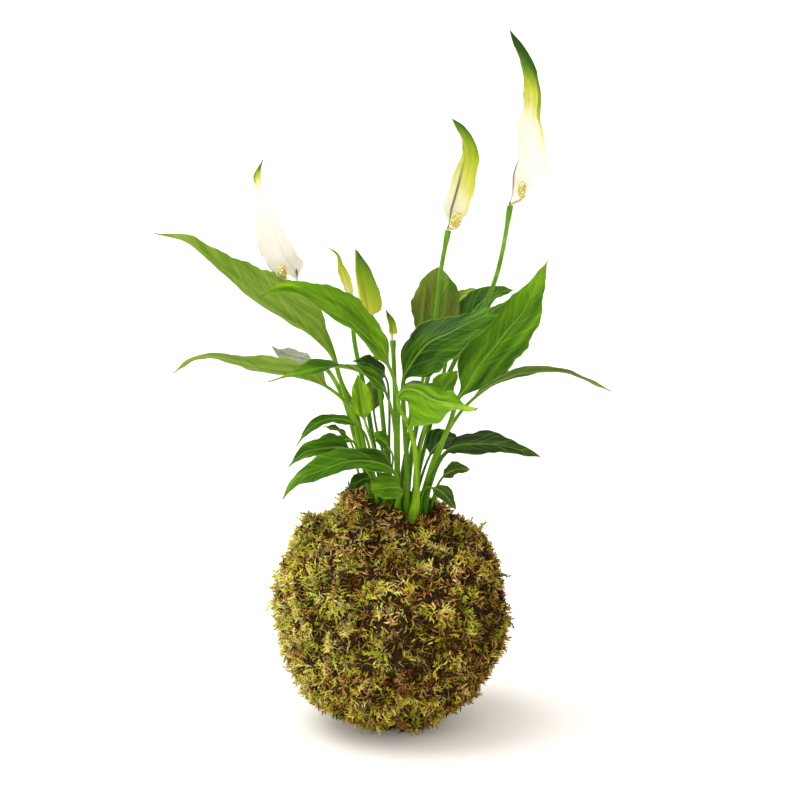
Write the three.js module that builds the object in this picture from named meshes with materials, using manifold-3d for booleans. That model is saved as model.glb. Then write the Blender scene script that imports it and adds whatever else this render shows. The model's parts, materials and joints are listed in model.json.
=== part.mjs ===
// Kokedama moss ball plant: a potless house plant, its root ball wrapped in moss and bound with dark thread.
// Units are millimetres, +Z is up, the origin is the centre of the flat resting spot under the ball.
// -Y is the front of the plant, +X its right.
import * as THREE from "three";
import { mergeVertices } from "three/addons/utils/BufferGeometryUtils.js";
import Module from "manifold-3d";

const wasm = await Module();
wasm.setup();

// The ball
const BALL_CENTRE_Z = 62;
const SOIL_RADIUS = 56;
const FIT_GAP = 0.3;
const MOSS_RADIUS = 62.7;
const MOSS_FACETS = 10;
const CORE_FACETS = 5;
const HOLLOW_DEPTH = 1.3;
const TUFT_HEIGHT = 3.2;
const TUFT_CLEAR_OF_THREAD = 7;
const TUFT_FULL_AT = 13;
const LIP = { rise: 7.5, width: 9, clearOfThread: 3, fullAt: 9 };
// The lip dips at the front, where the thick stems come out
const NOTCH = { x: 11.5, y: -20, width: 8 };
// The ball is fuller all round at its shoulders, given by their height angle in degrees
const SHOULDER = { rise: 6, at: 42, spread: 28 };

// The opening in the moss that the stems rise through
const OPENING = { x: 6, y: 1.3, radius: 22, wave: 0.9, lobes: 7, sides: 28 };

// The high tuft of moss at the left of the stems
const MOUND = { x: -28, y: 4, rise: 9, spread: 17, clearOfThread: 4, fullAt: 11 };

// The binding thread: each winding is a ring round the ball, given by its tilt, its turn and its offset
const THREAD_RADIUS = 0.55;
const THREAD_RING_RADIUS = MOSS_RADIUS + FIT_GAP + THREAD_RADIUS;
const THREAD_SIDES = 3;
const THREAD_STEPS = 32;
const WINDINGS = [
  { tilt: 62, turn: 15, offset: 1 },
  { tilt: 60, turn: 60, offset: -2 },
  { tilt: 57, turn: 100, offset: 2 },
  { tilt: 34, turn: 150, offset: -1 },
  { tilt: 59, turn: 185, offset: 0 },
  { tilt: 62, turn: 232, offset: -2 },
];

// The foot of every stem stands straight in a plain hole in the soil
const FOOT_Z = 104;
const FOOT_STRAIGHT_TO = 112;
const FOOT_FREE_FROM = 119;
const HOLE_CLEARANCE = 0.4;
const HOLE_SIDES = 6;

// Half the thickness of a blade, and how thin its stalk is at the top as a share of its foot
const BLADE_HALF = 0.42;
const STALK_TOP_SHARE = 0.62;
const TIP_HALF_WIDTH = 0.5;

// Shares of a blade's length by which it has opened flat, its rib has sunk in and its waves have grown
const FLAT_BY = 0.16;
const RIB_SUNK_BY = 0.35;
const WAVES_FROM = 0.02;
const WAVES_FULL_BY = 0.25;
const WAVES_FADE_FROM = 0.9;
const RIGHT_LAGS_LEFT = 1.9;

const vector = (p) => new THREE.Vector3(p[0], p[1], p[2]);
const smooth = (a, b, t) => THREE.MathUtils.smoothstep(t, a, b);

// Materials
const moss = () => matte("#7d8a3a", 0.95);
const soil = () => matte("#3b2a1d", 0.95);
const thread = () => matte("#2b241c", 0.8);
const leafGreen = () => matte("#4c8a1f", 0.42);
const leafDark = () => matte("#2f5f1d", 0.42);
const leafPale = () => matte("#7fa04c", 0.5);
const leafGrey = () => matte("#8d9488", 0.7);
const stalkGreen = () => matte("#7fae35", 0.45);
const spatheWhite = () => matte("#f3efe6", 0.5);
const spatheGreen = () => matte("#cfd77a", 0.5);
const spadixCream = () => matte("#e6d98a", 0.7);

function matte(colour, roughness) {
  return new THREE.MeshStandardMaterial({ color: colour, roughness, metalness: 0 });
}

// A closed solid from a three.js geometry, for cutting and joining
function solidOf(geometry) {
  const bare = geometry.index ? geometry.toNonIndexed() : geometry.clone();
  bare.deleteAttribute("normal");
  bare.deleteAttribute("uv");
  const merged = mergeVertices(bare, 1e-4);
  const mesh = new wasm.Mesh({
    numProp: 3,
    vertProperties: new Float32Array(merged.attributes.position.array),
    triVerts: new Uint32Array(merged.index.array),
  });
  return new wasm.Manifold(mesh);
}

// Back from a solid to a geometry
function geometryOf(solid) {
  const mesh = solid.getMesh();
  const places = new Float32Array(mesh.numVert * 3);
  for (let i = 0; i < mesh.numVert; i += 1) {
    for (let k = 0; k < 3; k += 1) {
      places[i * 3 + k] = mesh.vertProperties[i * mesh.numProp + k];
    }
  }
  const geometry = new THREE.BufferGeometry();
  geometry.setAttribute("position", new THREE.BufferAttribute(places, 3));
  geometry.setIndex(new THREE.BufferAttribute(new Uint32Array(mesh.triVerts), 1));
  return geometry;
}

function named(name, geometry, material) {
  const flat = geometry.index ? geometry.toNonIndexed() : geometry;
  flat.computeVertexNormals();
  const mesh = new THREE.Mesh(flat, material);
  mesh.name = name;
  return mesh;
}

// Spines and sections

// Directions of the upper face along a blade, from the values given at its base, middle and tip
function facingAt(facing, s) {
  if (facing.length === 1) {
    return vector(facing[0]).normalize();
  }
  const at = s * (facing.length - 1);
  const i = Math.min(Math.floor(at), facing.length - 2);
  return vector(facing[i]).lerp(vector(facing[i + 1]), at - i).normalize();
}

// Width of a blade along its length as a share of its greatest width: a lance shape with a drawn-out tip
function lance(s, early, point) {
  const body = Math.sin(Math.PI * Math.pow(s, early));
  return Math.pow(Math.max(body, 0), point);
}

// The rings of a leaf: where each stands along its spine, and its frame
const SPINE_STEPS = 400;

function framesOf(leaf) {
  const curve = new THREE.CatmullRomCurve3(leaf.spine.map(vector), false, "centripetal");
  curve.arcLengthDivisions = SPINE_STEPS;
  const lengths = curve.getLengths(SPINE_STEPS);
  const stepOf = (i) => Math.round((i / (leaf.spine.length - 1)) * SPINE_STEPS);
  const shareAt = (i) => lengths[stepOf(i)] / lengths[SPINE_STEPS];
  const start = shareAt(leaf.bladeFrom);
  const stands = [];
  const free = leaf.footPoints ? shareAt(leaf.footPoints - 1) : 0;
  stands.push({ u: 0, s: -1 });
  for (let i = 0; i < leaf.stalkRings - 1; i += 1) {
    stands.push({ u: THREE.MathUtils.lerp(free, start, i / (leaf.stalkRings - 1)), s: -1 });
  }
  for (let i = 0; i <= leaf.bladeRings; i += 1) {
    const s = i / leaf.bladeRings;
    stands.push({ u: start + (1 - start) * s, s });
  }
  for (const stand of stands) {
    stand.at = curve.getPointAt(stand.u);
    stand.along = curve.getTangentAt(stand.u);
  }
  for (let i = stands.length - 1; i >= 0; i -= 1) {
    const stand = stands[i];
    const hint = stand.s >= 0 ? facingAt(leaf.facing, stand.s) : stands[i + 1].up.clone();
    hint.addScaledVector(stand.along, -hint.dot(stand.along));
    stand.up = hint.normalize();
    stand.side = new THREE.Vector3().crossVectors(stand.along, stand.up);
  }
  stands.startShare = start;
  return stands;
}

// One ring of points: the upper row from left to right, then the lower row from left to right
function sectionOf(leaf, stand) {
  const columns = leaf.columns;
  const share = Math.min(stand.u / Math.max(leaf.startShare, 1e-6), 1);
  const stalk = leaf.stalkRadius * (1 + (STALK_TOP_SHARE - 1) * share);
  const s = Math.max(stand.s, 0);
  const flatness = stand.s < 0 ? 0 : smooth(0, FLAT_BY, s);
  const wide = (leaf.width / 2) * lance(s, leaf.early, leaf.point);
  const half = Math.max(Math.hypot(stalk * (1 - s), wide), TIP_HALF_WIDTH);
  const rib = THREE.MathUtils.lerp(stalk, BLADE_HALF, smooth(0, RIB_SUNK_BY, s));
  const rows = { upper: [], lower: [] };
  for (let j = 0; j < columns; j += 1) {
    const v = (2 * j) / (columns - 1) - 1;
    const angle = Math.PI * (1 - (j + 0.5) / columns);
    const round = { across: stalk * Math.cos(angle), out: stalk * Math.sin(angle) };
    const bent = bendOf(leaf, v, s, half);
    const thick = THREE.MathUtils.lerp(rib, BLADE_HALF, Math.min(Math.abs(v) * 2, 1));
    for (const row of ["upper", "lower"]) {
      const sign = row === "upper" ? 1 : -1;
      const across = THREE.MathUtils.lerp(round.across, bent.across, flatness);
      const out = THREE.MathUtils.lerp(sign * round.out, bent.out + sign * thick, flatness);
      const place = stand.at.clone();
      place.addScaledVector(stand.side, across);
      place.addScaledVector(stand.up, out);
      rows[row].push(place);
    }
  }
  return rows;
}

// How far a point of the blade lies across and above its spine: rolled, folded on the midrib and waved
function bendOf(leaf, v, s, half) {
  const fold = Math.tan(THREE.MathUtils.degToRad(leaf.fold)) * half * Math.abs(v);
  const phase = v > 0 ? leaf.phase : leaf.phase + RIGHT_LAGS_LEFT;
  const wave = leaf.wave * v * v * Math.sin(2 * Math.PI * leaf.waves * s + phase);
  const held = smooth(WAVES_FROM, WAVES_FULL_BY, s) * (1 - smooth(WAVES_FADE_FROM, 1, s));
  const roll = THREE.MathUtils.degToRad(leaf.roll);
  if (roll < 0.01) {
    return { across: half * v, out: fold + wave * held };
  }
  const radius = (2 * half) / roll;
  const turned = (v * roll) / 2;
  const lift = radius * (1 - Math.cos(turned));
  return { across: radius * Math.sin(turned), out: lift + fold + wave * held };
}

// The closed surface over all rings. Both faces of the blade are split along the same diagonals.
function skin(rings) {
  const columns = rings[0].upper.length;
  const triangles = [];
  const put = (a, b, c) => triangles.push(a, b, c);
  const last = rings.length - 1;
  for (let i = 0; i < last; i += 1) {
    const here = rings[i];
    const next = rings[i + 1];
    for (let j = 0; j < columns - 1; j += 1) {
      const leftHalf = j < (columns - 1) / 2;
      for (const [row, turned] of [["upper", false], ["lower", true]]) {
        const a = here[row][j];
        const b = here[row][j + 1];
        const c = next[row][j + 1];
        const d = next[row][j];
        const pairs = leftHalf ? [[a, b, d], [b, c, d]] : [[a, b, c], [a, c, d]];
        for (const [p, q, r] of pairs) {
          if (turned) {
            put(p, r, q);
          } else {
            put(p, q, r);
          }
        }
      }
    }
    const end = columns - 1;
    put(here.lower[0], here.upper[0], next.upper[0]);
    put(here.lower[0], next.upper[0], next.lower[0]);
    put(here.lower[end], next.upper[end], here.upper[end]);
    put(here.lower[end], next.lower[end], next.upper[end]);
  }
  for (let j = 0; j < columns - 1; j += 1) {
    const foot = rings[0];
    put(foot.upper[j], foot.lower[j], foot.lower[j + 1]);
    put(foot.upper[j], foot.lower[j + 1], foot.upper[j + 1]);
    const tip = rings[last];
    put(tip.upper[j], tip.lower[j + 1], tip.lower[j]);
    put(tip.upper[j], tip.upper[j + 1], tip.lower[j + 1]);
  }
  const geometry = new THREE.BufferGeometry();
  const places = triangles.flatMap((p) => [p.x, p.y, p.z]);
  geometry.setAttribute("position", new THREE.Float32BufferAttribute(places, 3));
  return geometry;
}

const LEAF_DEFAULTS = {
  columns: 5,
  stalkRings: 5,
  bladeRings: 10,
  stalkRadius: 1.5,
  width: 20,
  early: 0.8,
  point: 0.9,
  fold: 14,
  roll: 0,
  wave: 0.8,
  waves: 2,
  phase: 0,
};

// A leaf stands in the soil at its root and follows the points given above it
function leafGeometry(given) {
  const leaf = { ...LEAF_DEFAULTS, ...given };
  const [x, y] = leaf.root;
  const foot = [[x, y, FOOT_Z], [x, y, FOOT_STRAIGHT_TO], [x, y, FOOT_FREE_FROM]];
  leaf.spine = [...foot, ...leaf.points];
  leaf.bladeFrom = leaf.blade + foot.length;
  leaf.footPoints = foot.length;
  const stands = framesOf(leaf);
  leaf.startShare = stands.startShare;
  return skin(stands.map((stand) => sectionOf(leaf, stand)));
}

// Leaves: where each is rooted, the points it passes, the point its blade starts at, its width and facing
const LEAVES = {
  // Long leaf reaching to the upper left, its pale underside to the front
  leaf_01: {
    root: [-6, 5.5], colour: leafPale, stalkRadius: 1.7, width: 36, early: 0.57, point: 1.3, blade: 3,
    fold: 28, phase: 0.6,
    points: [[-15, 4, 150], [-20, 8, 172], [-26, 14, 188], [-33, 16, 211], [-38, 18, 217], [-48, 21, 225],
      [-61, 24, 234], [-77, 28, 243], [-93, 30, 256], [-107, 30, 269], [-116, 30, 275], [-134, 28, 280]],
    facing: [[0.5, 0.62, 0.58], [0.4, 0.66, 0.6], [0.3, 0.5, 0.8]], bladeRings: 10,
  },
  // Long level leaf to the left, seen nearly edge-on
  leaf_02: {
    root: [-6, -2.9], colour: leafPale, width: 29, early: 0.55, point: 1.1, blade: 3,
    points: [[-13, -5, 150], [-17, -7, 174], [-25, -9, 190], [-34, -12, 200], [-44, -16, 206],
      [-60, -22, 211], [-80, -28, 216], [-96, -33, 221], [-107, -36, 221], [-119, -40, 214]],
    facing: [[0.1, 0.5, 0.86], [0.05, 0.42, 0.9]], bladeRings: 10,
  },
  // Bright leaf reaching forward over the long one
  leaf_03: {
    root: [3.8, -2.9], colour: leafGreen, width: 24, blade: 3, fold: 25, phase: 1.2,
    points: [[4, -11, 152], [4, -14, 176], [4, -17, 195], [0, -20, 211], [-8, -26, 225], [-17, -32, 236],
      [-27, -38, 246], [-39, -44, 254], [-54, -52, 262], [-69, -60, 261]],
    facing: [[0.45, -0.62, 0.6], [0.4, -0.55, 0.7], [0.2, -0.4, 0.9]], bladeRings: 11,
  },
  // Narrow twisted leaf at the front
  leaf_04: {
    root: [6.2, -7.1], colour: leafGreen, stalkRadius: 1.2, width: 14, blade: 2, wave: 1,
    points: [[4, -15, 154], [2, -22, 178], [-1, -28, 196], [-7, -37, 208], [-20, -45, 217],
      [-38, -53, 220], [-66, -62, 214]],
    facing: [[0.2, -0.6, 0.75], [0, -0.55, 0.8], [0, 0.1, 0.99], [0, -0.5, 0.85], [0.1, -0.1, 0.98]],
  },
  // Small dark leaf behind it
  leaf_05: {
    root: [1.3, 1.3], colour: leafDark, stalkRadius: 1, width: 12, blade: 2,
    points: [[-1, -5, 160], [-1, -8, 190], [-3, -14, 206], [-12, -22, 215], [-21, -27, 218]],
    facing: [[0.2, -0.6, 0.75], [0, -0.6, 0.8]], bladeRings: 7,
  },
  // Broad dark leaf in the middle, facing forward
  leaf_06: {
    root: [8.7, -11.3], colour: leafDark, stalkRadius: 1.7, width: 29, early: 0.62, blade: 4, fold: -17,
    points: [[9, -18, 140], [9, -20, 155], [8, -21, 175], [7, -23, 192], [7, -27, 207], [11, -29, 216],
      [15, -32, 223], [21, -34, 230], [31, -35, 235], [41, -34, 240], [52, -33, 245], [62, -31, 251]],
    facing: [[-0.3, -0.85, 0.4], [-0.25, -0.75, 0.6], [-0.2, -0.7, 0.65]], bladeRings: 11,
  },
  // Large upright leaf at the right
  leaf_07: {
    root: [16, -7.1], colour: leafGreen, stalkRadius: 1.8, width: 32, point: 1.2, blade: 4, fold: 12,
    wave: 2.3, waves: 3,
    points: [[20, -14, 144], [25, -18, 162], [29, -19, 171], [33, -19, 181], [37, -18, 194],
      [42, -18, 201], [49, -17, 213], [58, -15, 224], [66, -13, 234], [73, -11, 242], [79, -8, 253],
      [87, -4, 270]],
    facing: [[-0.3, -0.93, 0.2], [-0.15, -0.95, 0.2], [-0.2, -0.9, 0.3]], bladeRings: 11,
  },
  // Olive leaf standing at the back
  leaf_08: {
    root: [3.8, 13.9], colour: leafDark, width: 28, early: 1.05, point: 0.7, blade: 2,
    points: [[9, 10, 160], [16, 15, 190], [22, 24, 214], [25, 30, 235], [27, 37, 259]],
    facing: [[0.1, -0.9, 0.4], [0.1, -0.8, 0.5]], bladeRings: 9,
  },
  // Dark leaf at the back right
  leaf_09: {
    root: [11.1, 11.7], colour: leafDark, width: 20, blade: 2,
    points: [[17, 13, 150], [28, 20, 192], [35, 27, 218], [46, 34, 233], [58, 40, 243], [70, 46, 244]],
    facing: [[-0.3, -0.7, 0.6], [-0.3, -0.5, 0.8]], bladeRings: 9,
  },
  // Withered curl at the back right
  leaf_10: {
    root: [6.2, 18.1], colour: leafGrey, stalkRadius: 1, width: 8, roll: 110, blade: 2,
    points: [[13, 20, 160], [24, 32, 205], [35, 42, 232], [42, 47, 241], [49, 49, 244]],
    facing: [[-0.4, -0.8, 0.4], [-0.3, -0.5, 0.8]], bladeRings: 6, columns: 3,
  },
  // Long narrow leaf arching out to the far right
  leaf_11: {
    root: [18.5, -2.9], colour: leafDark, width: 11.5, blade: 4, fold: 12, wave: 0.6,
    points: [[22, -6, 146], [27, -7, 160], [31, -6, 171], [36, -3, 179], [43, 1, 187], [57, 6, 197],
      [69, 8, 202], [84, 10, 204], [100, 11, 203], [125, 12, 192]],
    facing: [[-0.4, -0.2, 0.88], [-0.1, -0.12, 0.98], [0.2, -0.1, 0.97]], bladeRings: 11,
  },
  // Bright curled leaf coming to the front
  leaf_12: {
    root: [11.1, -15.5], colour: leafGreen, width: 26, early: 0.6, blade: 3, fold: -32, wave: 5.4,
    waves: 1.2, phase: 2.07,
    points: [[14, -19, 137], [14, -24, 160], [11, -29, 179], [4, -35, 197], [7, -38, 204], [14, -42, 205],
      [23, -47, 201], [35, -53, 200], [47, -60, 199]],
    facing: [[-0.4, -0.6, 0.6], [-0.1, -0.5, 0.87], [0, -0.6, 0.8]],
  },
  // Low leaf to the right
  leaf_13: {
    root: [18.5, -11.3], colour: leafDark, width: 17, early: 0.65, blade: 3, fold: 8,
    points: [[20, -17, 138], [23, -22, 150], [26, -26, 159], [30, -29, 166], [37, -32, 171],
      [47, -35, 173], [60, -38, 173], [71, -41, 171], [82, -44, 168]],
    facing: [[-0.3, -0.5, 0.8], [0, -0.5, 0.87]],
  },
  // Small olive leaf below it
  leaf_14: {
    root: [20.9, -7.1], colour: leafDark, stalkRadius: 1, width: 8, blade: 1,
    points: [[25, -13, 140], [29, -16, 149], [36, -19, 154], [44, -22, 155]],
    facing: [[-0.3, -0.6, 0.75], [0, -0.6, 0.8]], bladeRings: 6, stalkRings: 4, columns: 3,
  },
  // Small leaf lying on the moss at the right
  leaf_15: {
    root: [16, -15.5], colour: leafDark, stalkRadius: 1, width: 9, blade: 2,
    points: [[16.5, -16, 133], [19, -21.5, 144], [23, -28, 146], [29, -32, 144], [36, -36, 136]],
    facing: [[-0.2, -0.6, 0.75], [0.1, -0.6, 0.8]], bladeRings: 6, stalkRings: 4, columns: 3,
  },
  // Narrow leaves low on the left
  leaf_16: {
    root: [-1.1, -2.9], colour: leafGreen, stalkRadius: 1.1, width: 7, blade: 3,
    points: [[-10, -8, 150], [-12, -10, 164], [-15, -13, 174], [-19, -18, 179], [-25, -22, 183],
      [-35, -28, 185], [-45, -33, 181], [-52, -36, 172]],
    facing: [[0.3, -0.6, 0.75], [0, -0.65, 0.76], [-0.3, -0.6, 0.7]], bladeRings: 9, columns: 3,
  },
  leaf_17: {
    root: [-8.5, 1.3], colour: leafDark, stalkRadius: 0.9, width: 4, blade: 2,
    points: [[-19, -2, 150], [-21, -3, 162], [-25, -5, 170], [-31, -8, 175], [-38, -10, 177]],
    facing: [[0.2, -0.6, 0.75]], bladeRings: 6, stalkRings: 4, columns: 3,
  },
  leaf_18: {
    root: [-8.5, -7.1], colour: leafDark, stalkRadius: 1, width: 5, blade: 2,
    points: [[-15, -10, 150], [-18, -14, 163], [-21, -18, 170], [-29, -23, 173], [-36, -28, 175],
      [-42, -31, 174]],
    facing: [[0.2, -0.6, 0.75]], bladeRings: 7, stalkRings: 5, columns: 3,
  },
  leaf_19: {
    root: [-6, -11.3], colour: leafGreen, stalkRadius: 1.2, width: 14, early: 0.55, blade: 2,
    points: [[-10, -17, 146], [-15, -22, 158], [-22, -26.5, 166], [-27, -30.5, 169.5],
      [-38, -36.5, 170.5], [-48, -40, 169], [-56, -43, 162]],
    facing: [[0.2, -0.6, 0.75], [-0.1, -0.65, 0.76]], bladeRings: 9,
  },
  // Large drooping dark leaf at the front left
  leaf_20: {
    root: [3.8, -11.3], colour: leafDark, width: 18, blade: 1, fold: 16, wave: 1.2,
    points: [[4, -20, 140], [3, -28, 153], [-6, -36, 162], [-22, -43, 165], [-40, -50, 161],
      [-52, -54, 156], [-59, -56, 147]],
    facing: [[0.2, -0.65, 0.73], [-0.1, -0.55, 0.83], [-0.5, -0.65, 0.55]], bladeRings: 11,
  },
  leaf_21: {
    root: [-3.6, -15.5], colour: leafDark, stalkRadius: 1, width: 9, blade: 2,
    points: [[-4, -17, 137], [-7, -22, 148], [-11, -28, 151], [-16, -33, 152], [-24, -37, 147]],
    facing: [[0.1, -0.75, 0.65], [-0.3, -0.7, 0.65]], bladeRings: 6, stalkRings: 4, columns: 3,
  },
  // Round bright leaf on top of the moss at the front
  leaf_22: {
    root: [1.3, -15.5], colour: leafGreen, stalkRadius: 1, width: 16, early: 0.95, point: 0.6, blade: 2,
    points: [[3, -19, 134], [6, -26, 142], [5, -33, 147], [-2, -39, 149], [-11, -44, 149]],
    facing: [[0.2, -0.75, 0.6], [0, -0.8, 0.55]], bladeRings: 7, stalkRings: 4,
  },
  // Small leaves inside the clump
  leaf_23: {
    root: [13.6, -2.9], colour: leafGreen, stalkRadius: 1.1, width: 15, blade: 2,
    points: [[16, -6, 160], [21, -5, 180], [26, -6, 191], [31, -8, 200], [37, -11, 209]],
    facing: [[-0.4, -0.85, 0.3]], bladeRings: 7, stalkRings: 4,
  },
  leaf_24: {
    root: [11.1, 1.3], colour: leafDark, stalkRadius: 1.1, width: 12, blade: 1, wave: 1.2,
    points: [[18, -3, 148], [22, -1.5, 158], [26, 1, 163.5], [31, 5, 166.5], [38, 9, 165]],
    facing: [[-0.5, -0.6, 0.6], [-0.1, -0.6, 0.8]], bladeRings: 7, stalkRings: 4,
  },
  leaf_25: {
    root: [-1.1, 5.5], colour: leafGreen, stalkRadius: 1.1, width: 13, blade: 2,
    points: [[-8, 6, 154], [-12, 7, 167], [-15, 9, 176], [-17, 12, 187], [-19, 15, 201]],
    facing: [[0.3, -0.9, 0.2]], bladeRings: 7, stalkRings: 4,
  },
  leaf_26: {
    root: [-1.1, 13.9], colour: leafPale, stalkRadius: 1, width: 13, blade: 2,
    points: [[-4, 14, 152], [-8, 19, 167], [-10, 24, 178], [-11, 30, 186], [-12, 36, 193]],
    facing: [[0.1, -0.85, 0.5]], bladeRings: 7, stalkRings: 4,
  },
  leaf_27: {
    root: [1.3, -7.1], colour: leafGreen, stalkRadius: 0.9, width: 8, blade: 2,
    points: [[0, -10, 148], [1, -13, 161], [-2, -16, 167], [-6, -19, 172], [-10, -22, 176]],
    facing: [[0.4, -0.7, 0.6]], bladeRings: 6, stalkRings: 4, columns: 3,
  },
};

// Flower stalks, from the soil to the flower
const STALK_TIP_RADIUS = 1.25;
const STALK_RINGS = 10;
const STALK_COLUMNS = 3;
const FLOWER_STALKS = {
  flower_1: { root: [-6, 13.9], points: [[-15, 13, 158], [-21, 18, 181], [-28, 22, 194], [-35, 27, 217],
    [-44, 31, 236], [-52, 33, 249]] },
  flower_2: { root: [8.7, 5.5], points: [[12, 3, 160], [18, 4, 190], [23, 5, 212], [25, 5, 234],
    [28, 6, 263], [32, 8, 285]] },
  flower_3: { root: [13.6, 5.5], points: [[16, 7, 160], [34, 13, 205], [53, 16, 241], [59, 18, 256],
    [63, 20, 272], [67, 20, 297]] },
  bud_1: { root: [-3.6, 18.1], points: [[-10, 17, 160], [-15, 22, 190], [-21, 22, 220], [-22, 20, 242]] },
  bud_2: { root: [1.3, 9.7], points: [[-3, 8, 160], [-6, 10, 190], [-9, 15, 214], [-12, 16, 230]] },
  bud_3: { root: [3.8, 5.5], points: [[3, 4, 160], [2, 8, 198], [1, 10, 222]] },
  faded_flower: { root: [-8.5, 9.7], points: [[-11, 10, 132], [-14, 10, 143], [-19, 14, 158],
    [-27, 26, 184], [-36, 33, 199], [-42, 36, 203]] },
};

// Spathes: each starts just above its stalk
const SPATHES = {
  spathe_1: {
    stalk: "flower_1", columns: 7, colour: spatheWhite, width: 24, roll: 95, early: 0.5, point: 1.1,
    points: [[-56, 34, 260], [-60, 32, 266], [-65, 30, 278], [-70, 28, 292], [-73, 28, 303],
      [-75, 28, 312], [-72, 28, 322]],
    facing: [[-0.35, -0.85, 0.2], [-0.5, -0.8, 0.1], [-0.6, -0.7, 0.2]],
  },
  spathe_2: {
    stalk: "flower_2", columns: 7, colour: spatheGreen, width: 19, roll: 150, early: 0.5, point: 0.7,
    points: [[34, 9, 295], [37, 9, 303], [40, 10, 311], [43, 10, 320], [45, 11, 327], [43, 12, 336],
      [39, 12, 342], [34, 12, 347]],
    facing: [[0.3, -0.93, 0], [-0.1, -0.97, 0.1], [-0.5, -0.8, 0.2]],
  },
  spathe_3: {
    stalk: "flower_3", columns: 7, colour: spatheWhite, width: 22, roll: 150, early: 0.5, point: 0.8,
    points: [[70, 20, 307], [74, 20, 315], [78, 21, 323], [81, 22, 337], [82, 22, 350], [81, 22, 363],
      [76, 21, 379], [66, 20, 395]],
    facing: [[0.3, -0.93, 0], [0.1, -0.95, 0], [-0.8, -0.55, 0], [-0.5, -0.85, 0], [-0.6, -0.7, 0.2]],
  },
  bud_spathe_1: {
    stalk: "bud_1", bladeRings: 7, colour: spatheGreen, width: 11, roll: 190, early: 0.55, point: 1,
    points: [[-24, 19, 253], [-27, 18, 262], [-30, 16, 270], [-38, 14, 276]],
    facing: [[-0.3, -0.9, 0.2], [-0.5, -0.6, 0.6]],
  },
  bud_spathe_2: {
    stalk: "bud_2", bladeRings: 7, colour: leafGreen, width: 21, roll: 200, early: 0.6, point: 0.7,
    points: [[-14, 16, 242], [-17, 16, 256], [-20, 16, 273]],
    facing: [[0.5, -0.85, 0], [0.6, -0.8, 0]],
  },
  bud_spathe_3: {
    stalk: "bud_3", bladeRings: 7, colour: leafGreen, width: 8, roll: 200, early: 0.6, point: 0.9,
    points: [[0, 10, 231], [-3, 10, 240]],
    facing: [[0.3, -0.9, 0.2]],
  },
  faded_spathe: {
    stalk: "faded_flower", bladeRings: 7, colour: leafGrey, width: 11, roll: 60, early: 0.7, point: 0.8,
    points: [[-50, 38, 204], [-57, 39, 206], [-64, 40, 208], [-69, 41, 212]],
    facing: [[0.1, -0.6, 0.8], [0, -0.5, 0.87]],
  },
};

// Spadices: a floret-studded club on a short bent stipe beside the foot of its spathe
const SPADICES = {
  spadix_1: { stalk: "flower_1", foot: [-61.5, 25, 253], aim: [-0.05, -0.2, 1], length: 9.5, radius: 2.9 },
  spadix_2: { stalk: "flower_2", foot: [35, 2, 288], aim: [0.35, -0.2, 0.9], length: 8, radius: 3.1 },
  spadix_3: { stalk: "flower_3", foot: [73, 13, 303], aim: [0, -0.1, 1], length: 8.5, radius: 2.4 },
};

function stemSpine(stem) {
  const [x, y] = stem.root;
  return [[x, y, FOOT_Z], [x, y, FOOT_STRAIGHT_TO], [x, y, FOOT_FREE_FROM], ...stem.points];
}

// A stalk is a round tapering rod, swollen a little where the flower sits
function stalkGeometry(stem) {
  const curve = new THREE.CatmullRomCurve3(stemSpine(stem).map(vector), false, "centripetal");
  const rings = STALK_RINGS;
  const rods = [];
  let up = new THREE.Vector3(0, -1, 0);
  const lengths = curve.getLengths(SPINE_STEPS);
  const free = lengths[Math.round((2 / (curve.points.length - 1)) * SPINE_STEPS)] / lengths[SPINE_STEPS];
  for (let i = 0; i <= rings; i += 1) {
    const u = i === 0 ? 0 : THREE.MathUtils.lerp(free, 1, (i - 1) / (rings - 1));
    const along = curve.getTangentAt(u);
    up.addScaledVector(along, -up.dot(along)).normalize();
    const side = new THREE.Vector3().crossVectors(along, up);
    const stand = { at: curve.getPointAt(u), up: up.clone(), side };
    const swollen = i >= rings - 1 ? 0.5 : 0;
    const radius = THREE.MathUtils.lerp(1.5, STALK_TIP_RADIUS, u) + swollen;
    rods.push(roundRing(stand, radius, STALK_COLUMNS));
  }
  return skin(rods);
}

function roundRing(stand, radius, columns) {
  const rows = { upper: [], lower: [] };
  for (let j = 0; j < columns; j += 1) {
    const angle = Math.PI * (1 - (j + 0.5) / columns);
    for (const row of ["upper", "lower"]) {
      const sign = row === "upper" ? 1 : -1;
      const place = stand.at.clone();
      place.addScaledVector(stand.side, radius * Math.cos(angle));
      place.addScaledVector(stand.up, sign * radius * Math.sin(angle));
      rows[row].push(place);
    }
  }
  return rows;
}

function stalkEnd(name) {
  const spine = stemSpine(FLOWER_STALKS[name]).map(vector);
  const curve = new THREE.CatmullRomCurve3(spine, false, "centripetal");
  return { at: curve.getPointAt(1), along: curve.getTangentAt(1) };
}

// A spathe is a leaf that starts on the back half of its stalk end
const SPATHE_START = 0.35;
const SPATHE_SHIFT = 1.05;

function spatheGeometry(given) {
  const usual = { ...LEAF_DEFAULTS, stalkRadius: 0.8, bladeRings: 11, fold: 4, wave: 0.8, columns: 5 };
  const leaf = { ...usual, ...given };
  const end = stalkEnd(leaf.stalk);
  const back = vector(leaf.facing[0]).negate();
  back.addScaledVector(end.along, -back.dot(end.along)).normalize();
  const foot = end.at.clone().addScaledVector(end.along, SPATHE_START).addScaledVector(back, SPATHE_SHIFT);
  const above = foot.clone().addScaledVector(end.along, 2);
  leaf.spine = [foot.toArray(), above.toArray(), ...leaf.points];
  leaf.bladeFrom = 1;
  leaf.stalkRings = 1;
  const stands = framesOf(leaf);
  leaf.startShare = stands.startShare;
  return skin(stands.map((stand) => sectionOf(leaf, stand)));
}

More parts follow.
